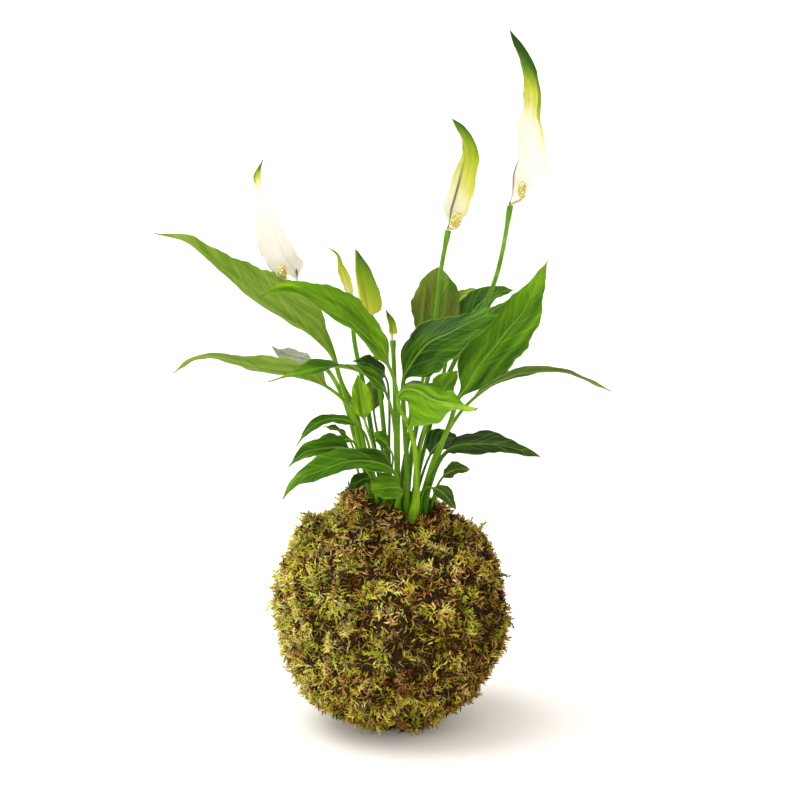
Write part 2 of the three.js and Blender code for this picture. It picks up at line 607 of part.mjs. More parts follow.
// Florets stand in spiral rows, raised from the club by a formula
const SPADIX_SIDES = 12;
const SPADIX_RINGS = 9;
const FLORETS_ROUND = 6;
const FLORET_RISE = 0.35;
const CLUB_FROM = 0.12;
const CLUB_TO = 0.93;
const CLUB_BLUNT = 0.6;
const STIPE_RADIUS = 0.8;
const STIPE_RINGS = 4;
const STIPE_BEND = 3;

function spadixGeometry(spadix) {
  const end = stalkEnd(spadix.stalk);
  const aim = vector(spadix.aim).normalize();
  const start = vector(spadix.foot);
  const front = start.clone().sub(end.at);
  front.addScaledVector(end.along, -front.dot(end.along)).normalize();
  const foot = end.at.clone().addScaledVector(end.along, SPATHE_START).addScaledVector(front, SPATHE_SHIFT);
  const leaving = foot.clone().addScaledVector(end.along, STIPE_BEND);
  const arriving = start.clone().addScaledVector(aim, -STIPE_BEND);
  const stipe = new THREE.CubicBezierCurve3(foot, leaving, arriving, start);
  const rings = [];
  for (let i = 0; i < STIPE_RINGS; i += 1) {
    const t = i / STIPE_RINGS;
    rings.push(ringAcross(stipe.getPoint(t), stipe.getTangent(t), () => STIPE_RADIUS));
  }
  const finish = start.clone().addScaledVector(aim, spadix.length);
  for (let i = 0; i <= SPADIX_RINGS; i += 1) {
    const t = i / SPADIX_RINGS;
    const at = start.clone().lerp(finish, 0.5 - 0.5 * Math.cos(Math.PI * t));
    const turn = Math.PI * THREE.MathUtils.lerp(CLUB_FROM, CLUB_TO, t);
    const body = spadix.radius * Math.sin(turn) ** CLUB_BLUNT;
    const raised = t > 0 && t < 1 ? FLORET_RISE : 0;
    rings.push(ringAcross(at, aim, (a) => body + raised * Math.cos(FLORETS_ROUND * a + Math.PI * i)));
  }
  return tube(rings);
}

// A ring of points across a direction, which is never level from front to back
function ringAcross(at, along, radiusAt) {
  const side = new THREE.Vector3().crossVectors(along, new THREE.Vector3(0, 1, 0)).normalize();
  const over = new THREE.Vector3().crossVectors(side, along).normalize();
  const ring = [];
  for (let j = 0; j < SPADIX_SIDES; j += 1) {
    const angle = (2 * Math.PI * j) / SPADIX_SIDES;
    const place = at.clone();
    place.addScaledVector(side, radiusAt(angle) * Math.cos(angle));
    place.addScaledVector(over, radiusAt(angle) * Math.sin(angle));
    ring.push(place);
  }
  return ring;
}

// A closed tube through rings of equal count, with a flat fan at each end
function tube(rings) {
  const triangles = [];
  const count = rings[0].length;
  for (let i = 0; i < rings.length - 1; i += 1) {
    for (let j = 0; j < count; j += 1) {
      const k = (j + 1) % count;
      triangles.push(rings[i][j], rings[i + 1][j], rings[i][k]);
      triangles.push(rings[i][k], rings[i + 1][j], rings[i + 1][k]);
    }
  }
  const last = rings[rings.length - 1];
  for (let j = 1; j < count - 1; j += 1) {
    triangles.push(rings[0][0], rings[0][j], rings[0][j + 1]);
    triangles.push(last[0], last[j + 1], last[j]);
  }
  const geometry = new THREE.BufferGeometry();
  const places = triangles.flatMap((p) => [p.x, p.y, p.z]);
  geometry.setAttribute("position", new THREE.Float32BufferAttribute(places, 3));
  const solid = solidOf(geometry);
  return solid.volume() > 0 ? geometry : turnedOut(geometry);
}

function turnedOut(geometry) {
  const places = geometry.attributes.position;
  const flipped = new Float32Array(places.count * 3);
  for (let i = 0; i < places.count; i += 3) {
    for (const [to, from] of [[0, 0], [1, 2], [2, 1]]) {
      flipped[(i + to) * 3] = places.getX(i + from);
      flipped[(i + to) * 3 + 1] = places.getY(i + from);
      flipped[(i + to) * 3 + 2] = places.getZ(i + from);
    }
  }
  const turned = new THREE.BufferGeometry();
  turned.setAttribute("position", new THREE.BufferAttribute(flipped, 3));
  return turned;
}

// The ball

function coreBall(radius) {
  const ball = new THREE.IcosahedronGeometry(radius, CORE_FACETS);
  ball.translate(0, 0, BALL_CENTRE_Z);
  return solidOf(ball);
}

// The ring a winding follows: the direction it turns about, and how far its plane lies from the centre
function windingAxis(winding) {
  const tilt = THREE.MathUtils.degToRad(winding.tilt);
  const turn = THREE.MathUtils.degToRad(winding.turn);
  return new THREE.Vector3(Math.sin(tilt) * Math.cos(turn), Math.sin(tilt) * Math.sin(turn), Math.cos(tilt));
}

function threadDistance(direction) {
  let nearest = Infinity;
  for (const winding of WINDINGS) {
    const off = Math.asin(winding.offset / THREAD_RING_RADIUS);
    const angle = Math.asin(THREE.MathUtils.clamp(direction.dot(windingAxis(winding)), -1, 1)) - off;
    nearest = Math.min(nearest, Math.abs(angle) * THREAD_RING_RADIUS);
  }
  return nearest;
}

// Hollows and tufts of the moss surface: a slow and a quick wave that do not repeat, from 0 to 1
function mossNoise(p) {
  const slow = Math.sin(0.31 * p.x + 0.23 * p.y + 1.3) * Math.sin(0.29 * p.z - 0.17 * p.x + 0.4);
  const quick = Math.sin(0.53 * p.y - 0.21 * p.z + 2.1) * Math.sin(0.47 * p.x + 0.33 * p.z + 0.9);
  return 0.5 + 0.3 * slow + 0.2 * quick;
}

function shoulderOf(direction) {
  const angle = THREE.MathUtils.radToDeg(Math.asin(THREE.MathUtils.clamp(direction.z, -1, 1)));
  return SHOULDER.rise * Math.exp(-(((angle - SHOULDER.at) / SHOULDER.spread) ** 2));
}

function mossRadius(direction) {
  const p = direction.clone().multiplyScalar(MOSS_RADIUS);
  const level = mossNoise(p);
  const free = smooth(TUFT_CLEAR_OF_THREAD, TUFT_FULL_AT, threadDistance(direction));
  let radius = MOSS_RADIUS - HOLLOW_DEPTH * (1 - level) + TUFT_HEIGHT * free * (0.35 + 0.65 * level);
  radius += shoulderOf(direction);
  if (p.z > 0) {
    const edge = Math.hypot(p.x - OPENING.x, p.y - OPENING.y) - OPENING.radius;
    const apart = threadDistance(direction);
    const notch = Math.exp(-((Math.hypot(p.x - NOTCH.x, p.y - NOTCH.y) / NOTCH.width) ** 2));
    const lip = LIP.rise * (1 - notch) * Math.exp(-((edge / LIP.width) ** 2));
    radius += lip * smooth(LIP.clearOfThread, LIP.fullAt, apart);
    const mound = Math.hypot(p.x - MOUND.x, p.y - MOUND.y);
    const clear = smooth(MOUND.clearOfThread, MOUND.fullAt, apart);
    radius += MOUND.rise * clear * Math.exp(-((mound / MOUND.spread) ** 2));
  }
  return radius;
}

function mossGeometry() {
  const ball = mergeVertices(bareBall(), 1e-4);
  const places = ball.attributes.position;
  const direction = new THREE.Vector3();
  for (let i = 0; i < places.count; i += 1) {
    direction.fromBufferAttribute(places, i).normalize();
    const radius = mossRadius(direction);
    places.setXYZ(i, direction.x * radius, direction.y * radius, direction.z * radius + BALL_CENTRE_Z);
  }
  const cover = solidOf(ball).subtract(coreBall(SOIL_RADIUS + FIT_GAP));
  return geometryOf(cover.subtract(solidOf(openingGeometry())).subtract(solidOf(belowFloor())));
}

function bareBall() {
  const ball = new THREE.IcosahedronGeometry(1, MOSS_FACETS);
  ball.deleteAttribute("normal");
  ball.deleteAttribute("uv");
  return ball;
}

// The opening is a wavy-edged shaft down to the soil
function openingGeometry() {
  const outline = [];
  for (let i = 0; i < OPENING.sides; i += 1) {
    const angle = (2 * Math.PI * i) / OPENING.sides;
    const radius = OPENING.radius + OPENING.wave * Math.sin(OPENING.lobes * angle);
    outline.push(new THREE.Vector2(radius * Math.cos(angle), radius * Math.sin(angle)));
  }
  const shaft = new THREE.ExtrudeGeometry(new THREE.Shape(outline), { depth: 80, bevelEnabled: false });
  shaft.translate(OPENING.x, OPENING.y, BALL_CENTRE_Z + 10);
  return shaft;
}

function belowFloor() {
  const block = new THREE.BoxGeometry(200, 200, 20);
  block.translate(0, 0, -10);
  return block;
}

// The soil ball with a plain hole for the foot of every stem
function soilGeometry() {
  let core = coreBall(SOIL_RADIUS);
  const stems = [
    ...Object.values(LEAVES).map((leaf) => ({ root: leaf.root, radius: leaf.stalkRadius ?? 1.5 })),
    ...Object.values(FLOWER_STALKS).map((stem) => ({ root: stem.root, radius: 1.5 })),
  ];
  for (const stem of stems) {
    const wide = (stem.radius + HOLE_CLEARANCE) / Math.cos(Math.PI / HOLE_SIDES);
    const hole = new THREE.CylinderGeometry(wide, wide, 40, HOLE_SIDES);
    hole.rotateX(Math.PI / 2);
    hole.translate(stem.root[0], stem.root[1], FOOT_Z - FIT_GAP + 20);
    core = core.subtract(solidOf(hole));
  }
  return geometryOf(core);
}

// The thread: all windings cross each other, and hold together as one body
function threadGeometry() {
  let bound = null;
  for (const winding of WINDINGS) {
    const radius = Math.sqrt(THREAD_RING_RADIUS ** 2 - winding.offset ** 2);
    const ring = new THREE.TorusGeometry(radius, THREAD_RADIUS, THREAD_SIDES, THREAD_STEPS);
    const axis = windingAxis(winding);
    ring.applyQuaternion(new THREE.Quaternion().setFromUnitVectors(new THREE.Vector3(0, 0, 1), axis));
    ring.translate(axis.x * winding.offset, axis.y * winding.offset, axis.z * winding.offset);
    const places = ring.attributes.position;
    const place = new THREE.Vector3();
    for (let i = 0; i < places.count; i += 1) {
      place.fromBufferAttribute(places, i);
      place.setLength(place.length() + shoulderOf(place.clone().normalize()));
      places.setXYZ(i, place.x, place.y, place.z + BALL_CENTRE_Z);
    }
    const solid = solidOf(ring);
    bound = bound ? bound.add(solid) : solid;
  }
  return geometryOf(bound);
}

// The whole plant
const plant = new THREE.Group();
plant.name = "kokedama_moss_ball_plant";
plant.add(named("soil_core", soilGeometry(), soil()));
plant.add(named("moss_cover", mossGeometry(), moss()));
plant.add(named("binding_thread", threadGeometry(), thread()));
for (const [name, leaf] of Object.entries(LEAVES)) {
  plant.add(named(name, leafGeometry(leaf), leaf.colour()));
}
for (const [name, stem] of Object.entries(FLOWER_STALKS)) {
  plant.add(named(name + "_stalk", stalkGeometry(stem), stalkGreen()));
}
for (const [name, spathe] of Object.entries(SPATHES)) {
  plant.add(named(name, spatheGeometry(spathe), spathe.colour()));
}
for (const [name, spadix] of Object.entries(SPADICES)) {
  plant.add(named(name, spadixGeometry(spadix), spadixCream()));
}

export default plant;
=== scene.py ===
# %% [markdown]
# # A moss ball plant
# A kokedama is a house plant without a pot: its root ball is wrapped in moss and bound with thread.
# This one holds a small peace lily. The CAD model gives the frame: where every leaf, stalk and flower
# stands, and how large it is. Here each of those solids is replaced by a finer piece of the same form,
# and the moss, the thread and the finishes are added.

# %% The packed frame
import json
import math

import bmesh
import bpy
import numpy as np
from mathutils import Matrix, Vector, noise

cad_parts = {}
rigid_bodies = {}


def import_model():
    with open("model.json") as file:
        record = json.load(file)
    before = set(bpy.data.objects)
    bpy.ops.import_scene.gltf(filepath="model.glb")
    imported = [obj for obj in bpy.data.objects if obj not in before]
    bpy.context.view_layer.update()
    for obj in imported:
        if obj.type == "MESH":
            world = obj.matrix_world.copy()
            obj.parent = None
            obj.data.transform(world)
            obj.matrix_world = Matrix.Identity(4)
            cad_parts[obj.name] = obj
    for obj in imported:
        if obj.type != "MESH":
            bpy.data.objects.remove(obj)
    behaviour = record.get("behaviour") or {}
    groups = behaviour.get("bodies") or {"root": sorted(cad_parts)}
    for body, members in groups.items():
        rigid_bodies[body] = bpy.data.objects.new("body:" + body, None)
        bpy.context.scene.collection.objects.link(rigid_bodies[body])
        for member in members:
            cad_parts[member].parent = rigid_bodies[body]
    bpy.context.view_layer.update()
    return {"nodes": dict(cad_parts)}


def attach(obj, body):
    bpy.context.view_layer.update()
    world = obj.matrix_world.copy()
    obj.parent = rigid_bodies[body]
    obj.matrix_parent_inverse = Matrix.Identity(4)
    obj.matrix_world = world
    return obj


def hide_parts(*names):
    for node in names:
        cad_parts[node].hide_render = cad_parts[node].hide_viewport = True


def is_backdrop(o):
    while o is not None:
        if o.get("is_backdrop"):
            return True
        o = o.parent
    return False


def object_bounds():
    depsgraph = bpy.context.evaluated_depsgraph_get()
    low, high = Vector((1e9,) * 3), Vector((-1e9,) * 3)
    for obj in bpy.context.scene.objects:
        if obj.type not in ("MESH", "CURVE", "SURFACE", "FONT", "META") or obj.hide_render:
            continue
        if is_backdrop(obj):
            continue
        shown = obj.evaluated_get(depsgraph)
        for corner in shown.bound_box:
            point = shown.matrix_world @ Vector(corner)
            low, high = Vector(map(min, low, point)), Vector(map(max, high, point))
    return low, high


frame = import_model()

# %% [markdown]
# ## The camera
# The photograph was taken from a little above with a long lens. A camera can be matched by eye, or from
# the vanishing lines of a box. A plant has no straight lines, so the rise, the distance and the lens were
# changed until the plant lay in the picture where the photograph has it.

# %% Camera
MM = 0.001
CAMERA_TARGET = Vector((5.07, 0.0, 189.8)) * MM
CAMERA_DISTANCE = 1.5
CAMERA_RISE = math.radians(13)
CAMERA_LENS, SENSOR_WIDTH = 119.88, 36
SEES_AS_FAR_AS = 60

camera_data = bpy.data.cameras.new("camera")
camera_data.lens = CAMERA_LENS
camera_data.sensor_width = SENSOR_WIDTH
camera_data.clip_end = SEES_AS_FAR_AS
camera = bpy.data.objects.new("camera", camera_data)
towards_camera = Vector((0, -math.cos(CAMERA_RISE), math.sin(CAMERA_RISE)))
camera.location = CAMERA_TARGET + towards_camera * CAMERA_DISTANCE
camera.rotation_euler = (-towards_camera).to_track_quat("-Z", "Y").to_euler()
bpy.context.scene.collection.objects.link(camera)
bpy.context.scene.camera = camera
print("camera at", [round(v, 3) for v in camera.location])

# %% [markdown]
# ## Curves that pass through points
# Each stem is given by a few points, and a spline gives the places between. A centripetal spline is
# used, because it passes through every point and makes no loops. The CAD model uses the same one, so that
# both follow the same line.

# %% Spline through points
SPINE_FINENESS = 60


class Spine:
    """A centripetal spline, with places asked for by share of its length."""

    def __init__(self, points):
        p = np.array(points, float)
        ends = np.vstack([2 * p[0] - p[1], p, 2 * p[-1] - p[-2]])
        gaps = np.linalg.norm(np.diff(ends, axis=0), axis=1) ** 0.5
        a, b, c, d = ends[:-3], ends[1:-2], ends[2:-1], ends[3:]
        g0, g1, g2 = gaps[:-2, None], gaps[1:-1, None], gaps[2:, None]
        out = ((b - a) / g0 - (c - a) / (g0 + g1) + (c - b) / g1) * g1
        into = ((c - b) / g1 - (d - b) / (g1 + g2) + (d - c) / g2) * g1
        self.cubic = np.stack([b, out, -3 * b + 3 * c - 2 * out - into, 2 * b - 2 * c + out + into])
        self.spans = len(p) - 1
        self.grid = np.linspace(0, self.spans, self.spans * SPINE_FINENESS + 1)
        steps = np.linalg.norm(np.diff(self.at(self.grid), axis=0), axis=1)
        self.run = np.concatenate([[0], np.cumsum(steps)])
        self.length = self.run[-1]

    def _span(self, t):
        t = np.clip(np.asarray(t, float), 0, self.spans)
        i = np.minimum(t.astype(int), self.spans - 1)
        return self.cubic[:, i], (t - i)[..., None]

    def at(self, t):
        (a, b, c, d), w = self._span(t)
        return a + w * (b + w * (c + w * d))

    def slope(self, t):
        (_, b, c, d), w = self._span(t)
        along = b + w * (2 * c + 3 * w * d)
        return along / np.linalg.norm(along, axis=-1, keepdims=True)

    def share(self, point):
        return self.run[point * SPINE_FINENESS] / self.length

    def parameter(self, shares):
        return np.interp(np.asarray(shares) * self.length, self.run, self.grid)


def smooth(low, high, value):
    t = np.clip((value - low) / (high - low), 0, 1)
    return t * t * (3 - 2 * t)


def unit(v):
    v = np.asarray(v, float)
    return v / np.linalg.norm(v, axis=-1, keepdims=True)


test = Spine([[0, 0, 0], [10, 0, 0], [20, 5, 0]])
print("a test spline is", round(float(test.length), 2), "mm long")

# %% [markdown]
# ## Meshes with marks on them
# A finish that follows a leaf needs to know where on the leaf it is. That could be a UV map, but a plain
# named attribute on the points says it more directly: how far across, how far along, upper or lower face.

# %% Mesh helper
def lay_mesh(name, places, faces, marks=None, material=None, scale=MM):
    """A mesh object from places in millimetres. marks are named values, one for each point."""
    mesh = bpy.data.meshes.new(name)
    mesh.from_pydata((np.asarray(places) * scale).tolist(), [], [tuple(map(int, f)) for f in faces])
    for mark, values in (marks or {}).items():
        values = np.asarray(values, np.float32)
        kind, field = ("FLOAT", "value") if values.ndim == 1 else ("FLOAT_VECTOR", "vector")
        mesh.attributes.new(mark, kind, "POINT").data.foreach_set(field, values.ravel())
    mesh.shade_smooth()
    if material:
        mesh.materials.append(material)
    piece = bpy.data.objects.new(name, mesh)
    bpy.context.scene.collection.objects.link(piece)
    return piece


def stands_for(piece, node):
    """Hides the solid that a piece replaces, and makes the piece belong to the one body."""
    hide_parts(node)
    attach(piece, "root")


def ring_faces(rings, sides):
    """The faces that join each ring of points to the next one."""
    faces = []
    for low in range(0, (rings - 1) * sides, sides):
        for k in range(sides):
            n = (k + 1) % sides
            faces.append((low + k, low + n, low + sides + n, low + sides + k))
    return faces


print("nodes in the frame:", len(frame["nodes"]))

# %% [markdown]
# ## Wiring nodes
# A finish is a small tree of shader nodes, and what repeats is grown by a tree of geometry nodes. A few
# short calls keep the wiring of both readable: a value is either a number or the output of another node.

# %% Wiring helper
class Wiring:
    """Short calls that add nodes to a tree and join them."""

    def __init__(self, tree):
        self.tree = tree

    def add(self, kind, inputs=None, **settings):
        node = self.tree.nodes.new(kind)
        for setting, value in settings.items():
            setattr(node, setting, value)
        for label, value in (inputs or {}).items():
            self.put(node.inputs[label], value)
        return node

    def put(self, socket, value):
        if isinstance(value, bpy.types.NodeSocket):
            self.tree.links.new(value, socket)
        else:
            socket.default_value = value

    def fill(self, node, *values):
        """Gives a node's first inputs their values and returns its first output."""
        for socket, value in zip(node.inputs, values):
            self.put(socket, value)
        return node.outputs[0]

    def math(self, operation, first, second=0.0, third=0.0):
        return self.fill(self.add("ShaderNodeMath", operation=operation), first, second, third)

    def times(self, first, second):
        return self.math("MULTIPLY", first, second)

    def plus(self, first, second):
        return self.math("ADD", first, second)

    def vector(self, x=0.0, y=0.0, z=0.0):
        return self.fill(self.add("ShaderNodeCombineXYZ"), x, y, z)


print("wiring calls:", ", ".join(name for name in vars(Wiring) if not name.startswith("_")))

# %% [markdown]
# ## Finishes
# Every material here starts from the Principled shader. Colours are written as they look on a screen and
# turned into linear light, and most patterns are noise, stretched along the piece or left even.

# %% Finish helper
def tint(red, green, blue):
    """A colour as seen on a screen, 0 to 255, in the linear values that shaders use."""
    def linear(c):
        c /= 255
        return c / 12.92 if c <= 0.04045 else ((c + 0.055) / 1.055) ** 2.4
    return (linear(red), linear(green), linear(blue), 1.0)


class Finish(Wiring):
    """A material and the nodes that colour it."""

    def __init__(self, name, roughness=0.5, **sockets):
        self.material = bpy.data.materials.new(name)
        self.material.use_nodes = True
        super().__init__(self.material.node_tree)
        self.shader = self.tree.nodes["Principled BSDF"]
        for socket, value in {"Roughness": roughness, **sockets}.items():
            self.shader.inputs[socket.replace("_", " ")].default_value = value

    def span(self, value, low, high, to_low=0.0, to_high=1.0):
        """Eases from one value to another while a third goes from low to high."""
        node = self.add("ShaderNodeMapRange", interpolation_type="SMOOTHSTEP")
        return self.fill(node, value, low, high, to_low, to_high)

    def mix(self, share, first, second, how="MIX"):
        node = self.add("ShaderNodeMix", {0: share, 6: first, 7: second}, data_type="RGBA", blend_type=how)
        return node.outputs[2]

    def ramp(self, share, stops):
        """A colour that follows a share. Each stop is a place and a colour as seen on a screen."""
        node = self.add("ShaderNodeValToRGB", {0: share})
        elements = node.color_ramp.elements
        while len(elements) < len(stops):
            elements.new(0.5)
        for element, (place, colour) in zip(elements, stops):
            element.position = place
            element.color = tint(*colour)
        return node.outputs[0]

    def marks(self, name):
        """The three values of a mark."""
        mark = self.add("ShaderNodeAttribute", attribute_name=name).outputs["Vector"]
        return self.add("ShaderNodeSeparateXYZ", {0: mark}).outputs[:]

    def mark(self, name):
        return self.add("ShaderNodeAttribute", attribute_name=name).outputs["Fac"]

    def place(self, stretch=(1, 1, 1)):
        here = self.add("ShaderNodeTexCoord").outputs["Object"]
        return self.add("ShaderNodeMapping", {"Scale": stretch, "Vector": here}).outputs[0]

    def noise(self, scale, detail=3.0, where=None, roughness=0.55):
        node = self.add("ShaderNodeTexNoise", {
            "Vector": where or self.place(), "Scale": scale, "Detail": detail, "Roughness": roughness})
        return node.outputs["Fac"]

    def noise_along(self, detail, across, along, seed):
        """Noise stretched along a blade. across and along are each a place in mm and its turns for a mm."""
        return self.noise(1.0, detail, self.vector(self.times(*across), self.times(*along), seed))

    def sway(self, value, noise, amount):
        """A value moved up and down by a noise, which is 0.5 on average."""
        return self.plus(value, self.times(self.math("SUBTRACT", noise, 0.5), amount))

    def paint(self, colour):
        self.put(self.shader.inputs["Base Color"], colour)

    def rough(self, value):
        self.put(self.shader.inputs["Roughness"], value)

    def bump(self, height, strength, distance):
        node = self.add("ShaderNodeBump", {"Strength": strength, "Distance": distance, "Height": height})
        self.put(self.shader.inputs["Normal"], node.outputs[0])
        return node.outputs[0]

    def dress(self, colour, grain, rough, bump):
        """A colour whose grain makes it rougher by one amount over another, and stands up."""
        self.paint(colour)
        self.rough(self.math("MULTIPLY_ADD", grain, *rough))
        return self.bump(grain, *bump)

    def glow_through(self, colour, share, normal):
        """Part of the light that falls on the far side of a thin leaf comes through it."""
        through = self.add("ShaderNodeBsdfTranslucent", {"Color": colour, "Normal": normal})
        both = self.add("ShaderNodeMixShader", {0: share, 1: self.shader.outputs[0], 2: through.outputs[0]})
        self.put(self.tree.nodes["Material Output"].inputs["Surface"], both.outputs[0])


print("a mid grey of 128 is", round(tint(128, 128, 128)[0], 3), "in linear light")

# %% [markdown]
# ## Leaves
# A peace lily's leaf is a thin blade on a round stalk. Its midrib is a groove on top and a rib below, side
# veins sweep from it to the margin, and the margin waves. It could be cut from a flat sheet and bent, but
# here it is lofted: rings of points stand along the stem, round on the stalk and flat on the blade. The
# same rule as in the CAD model places the rings, with more of them, and the veins and ripples are added.

# %% Measures of a leaf
BLADE_HALF = 0.24
MARGIN_THINNER_BY = 0.45
STALK_TOP_SHARE = 0.62
TIP_HALF_WIDTH = 0.25
FLAT_BY = 0.16
RIB_SUNK_BY, RIB_STANDS_PROUD, RIB_WIDTH = 0.55, 0.35, 1.1
WAVES_FROM, WAVES_FULL_BY, WAVES_FADE_FROM = 0.02, 0.25, 0.9
RIGHT_LAGS_LEFT = 1.9
FOOT_HEIGHTS = (104, 112, 119)
SHEATH_FROM, SHEATH_SWELLS_IN, SHEATH_LENGTH = 118, 4, 34
STALK_RIDGE_GONE_BY = 0.3
GROOVE_DEPTH, GROOVE_WIDTH = 0.2, 0.8
GROOVE_FROM, GROOVE_FULL_BY, GROOVE_FADES_FROM = 0.1, 0.35, 0.8
QUILT = {"height": 0.22, "spacing": 8.6, "slant": 1.8, "sweep": 0.035, "drift": 2.0, "slow": 0.29}
BUCKLE, BUCKLE_EVERY = 0.55, 31
SCALLOP, SCALLOP_EVERY = 0.045, 17
WIDE_ENOUGH_TO_PUFF = 9
PUFFED_FROM, PUFFED_BY, PUFFED_MOST = 0.05, 0.4, 1.3
RING_GAP = 1.5
FEWEST_BLADE_RINGS, MOST_BLADE_RINGS = 22, 72
MIDDLE_IS_FINER = 1.25

LEAF_DEFAULTS = dict(
    columns=17, stalk=1.5, width=20, early=0.8, point=0.9, fold=14, roll=0, wave=0.8, waves=2, phase=0,
    tone=0.35, olive=0.0, sheath=0.55, seed=0,
)
print("a leaf's blade is", 2 * BLADE_HALF, "mm thick, with rings", RING_GAP, "mm apart")

# %% Where the rings stand
def facing_at(facing, s):
    """The direction of the upper face at a share of the blade's length."""
    facing = np.array(facing, float)
    if len(facing) == 1:
        return unit(facing[0])
    at = s * (len(facing) - 1)
    i = min(int(at), len(facing) - 2)
    return unit(facing[i] + (facing[i + 1] - facing[i]) * (at - i))


def stands_of(spine, blade_from, foot_points, facing):
    """Where the rings stand: their place, their directions, and their share of the stalk and blade."""
    start = spine.share(blade_from)
    free = spine.share(foot_points - 1) if foot_points else 0
    stalk_count = max(int((start - free) * spine.length / (2 * RING_GAP)), 2)
    blade_count = (1 - start) * spine.length / RING_GAP
    blade_count = int(np.clip(blade_count, FEWEST_BLADE_RINGS, MOST_BLADE_RINGS))
    on_stalk = np.linspace(free, start, stalk_count, endpoint=False)
    on_stalk = np.concatenate([[0], on_stalk]) if foot_points else on_stalk
    s_blade = np.linspace(0, 1, blade_count + 1)
    u = np.concatenate([on_stalk, start + (1 - start) * s_blade])
    s = np.concatenate([np.full(len(on_stalk), -1.0), s_blade])
    t = spine.parameter(u)
    at, along = spine.at(t), spine.slope(t)
    up = np.zeros_like(at)
    for i in range(len(u) - 1, -1, -1):
        hint = facing_at(facing, s[i]) if s[i] >= 0 else up[i + 1]
        up[i] = unit(hint - along[i] * hint.dot(along[i]))
    return {"u": u, "s": s, "at": at, "along": along, "up": up, "side": np.cross(along, up), "start": start}


leaf_line = Spine([(0, 0, 104), (0, 0, 150), (20, 0, 200)])
print("rings of a test leaf:", len(stands_of(leaf_line, 1, 0, [(0, -1, 0)])["u"]))

# %% How a blade bends
def bent_blade(leaf, v, s, half, length):
    """How far each point of the blade lies across and above its spine."""
    seed = leaf["seed"]
    phase = np.where(v > 0, leaf["phase"], leaf["phase"] + RIGHT_LAGS_LEFT)
    turn = 2 * np.pi * s
    held = smooth(WAVES_FROM, WAVES_FULL_BY, s) * (1 - smooth(WAVES_FADE_FROM, 1, s))
    ripple = turn * length / SCALLOP_EVERY + 2.3 * phase + seed
    notched = np.sin(ripple) + 0.5 * np.sin(2.7 * ripple + 1)
    half = half * (1 + SCALLOP * notched * held * np.abs(v) ** 3)
    fold = math.tan(math.radians(leaf["fold"])) * half * np.abs(v)
    wave = leaf["wave"] * v**2 * np.sin(leaf["waves"] * turn + phase)
    wave = wave + 0.3 * leaf["wave"] * v**4 * np.sin(3.3 * leaf["waves"] * turn + 2 * phase + seed)
    reach = np.abs(v) * half
    q = s * length - QUILT["slant"] * reach - QUILT["sweep"] * reach**2
    q = q + QUILT["drift"] * np.sin(QUILT["slow"] * q + seed)
    puffed = QUILT["height"] * np.sin(2 * np.pi * q / QUILT["spacing"])
    puffed = puffed * (1 - v**2) * smooth(PUFFED_FROM, PUFFED_BY, np.abs(v))
    puffed = puffed * np.clip(half / WIDE_ENOUGH_TO_PUFF, 0, PUFFED_MOST)
    buckled = np.sin(2 * np.pi * (s * length + 7 * v) / BUCKLE_EVERY + seed)
    buckled = buckled * np.sin(4 * v + 1.7 * phase)
    out = fold + (wave + puffed + BUCKLE * np.clip(half / WIDE_ENOUGH_TO_PUFF, 0, 1) * buckled) * held
    roll = math.radians(leaf["roll"])
    if roll < 0.01:
        return half * v, out
    radius = 2 * half / roll
    return radius * np.sin(v * roll / 2), out + radius * (1 - np.cos(v * roll / 2))


def lance(s, early, point):
    """The outline of a blade: its width at a share of its length."""
    return np.maximum(np.sin(np.pi * s**early), 0) ** point


print("a blade is widest at", round(0.5 ** (1 / LEAF_DEFAULTS["early"]), 2), "of its length")

# %% How thick a leaf is
def stalk_radius(leaf, stands, share, has_foot):
    """The stalk tapers upwards, and a sheath swells it where it leaves the moss."""
    stalk = leaf["stalk"] * (1 + (STALK_TOP_SHARE - 1) * share)
    height = stands["at"][:, 2:3]
    swelling = smooth(SHEATH_FROM, SHEATH_FROM + SHEATH_SWELLS_IN, height)
    sheathed = swelling * (1 - smooth(0, 1, (height - SHEATH_FROM) / SHEATH_LENGTH))
    return stalk * (1 + leaf["sheath"] * sheathed * has_foot)


def blade_thickness(stalk, s, v, reach):
    """How far the blade stands above and below its middle: a groove on top, a rib below."""
    blade = BLADE_HALF * (1 - MARGIN_THINNER_BY * v**4)
    rib = stalk + (BLADE_HALF - stalk) * smooth(0, RIB_SUNK_BY, s)
    rib = np.maximum(rib, BLADE_HALF + RIB_STANDS_PROUD * (1 - s))
    ridge = np.exp(-((reach / RIB_WIDTH) ** 2))
    above = blade + (stalk - BLADE_HALF) * (1 - smooth(0, STALK_RIDGE_GONE_BY, s)) * ridge
    groove = GROOVE_DEPTH * smooth(GROOVE_FROM, GROOVE_FULL_BY, s) * (1 - smooth(GROOVE_FADES_FROM, 1, s))
    above = above - groove * np.exp(-((reach / GROOVE_WIDTH) ** 2))
    return above, blade + (rib - BLADE_HALF) * ridge


print("a rib stands", RIB_STANDS_PROUD, "mm below the blade at its foot")

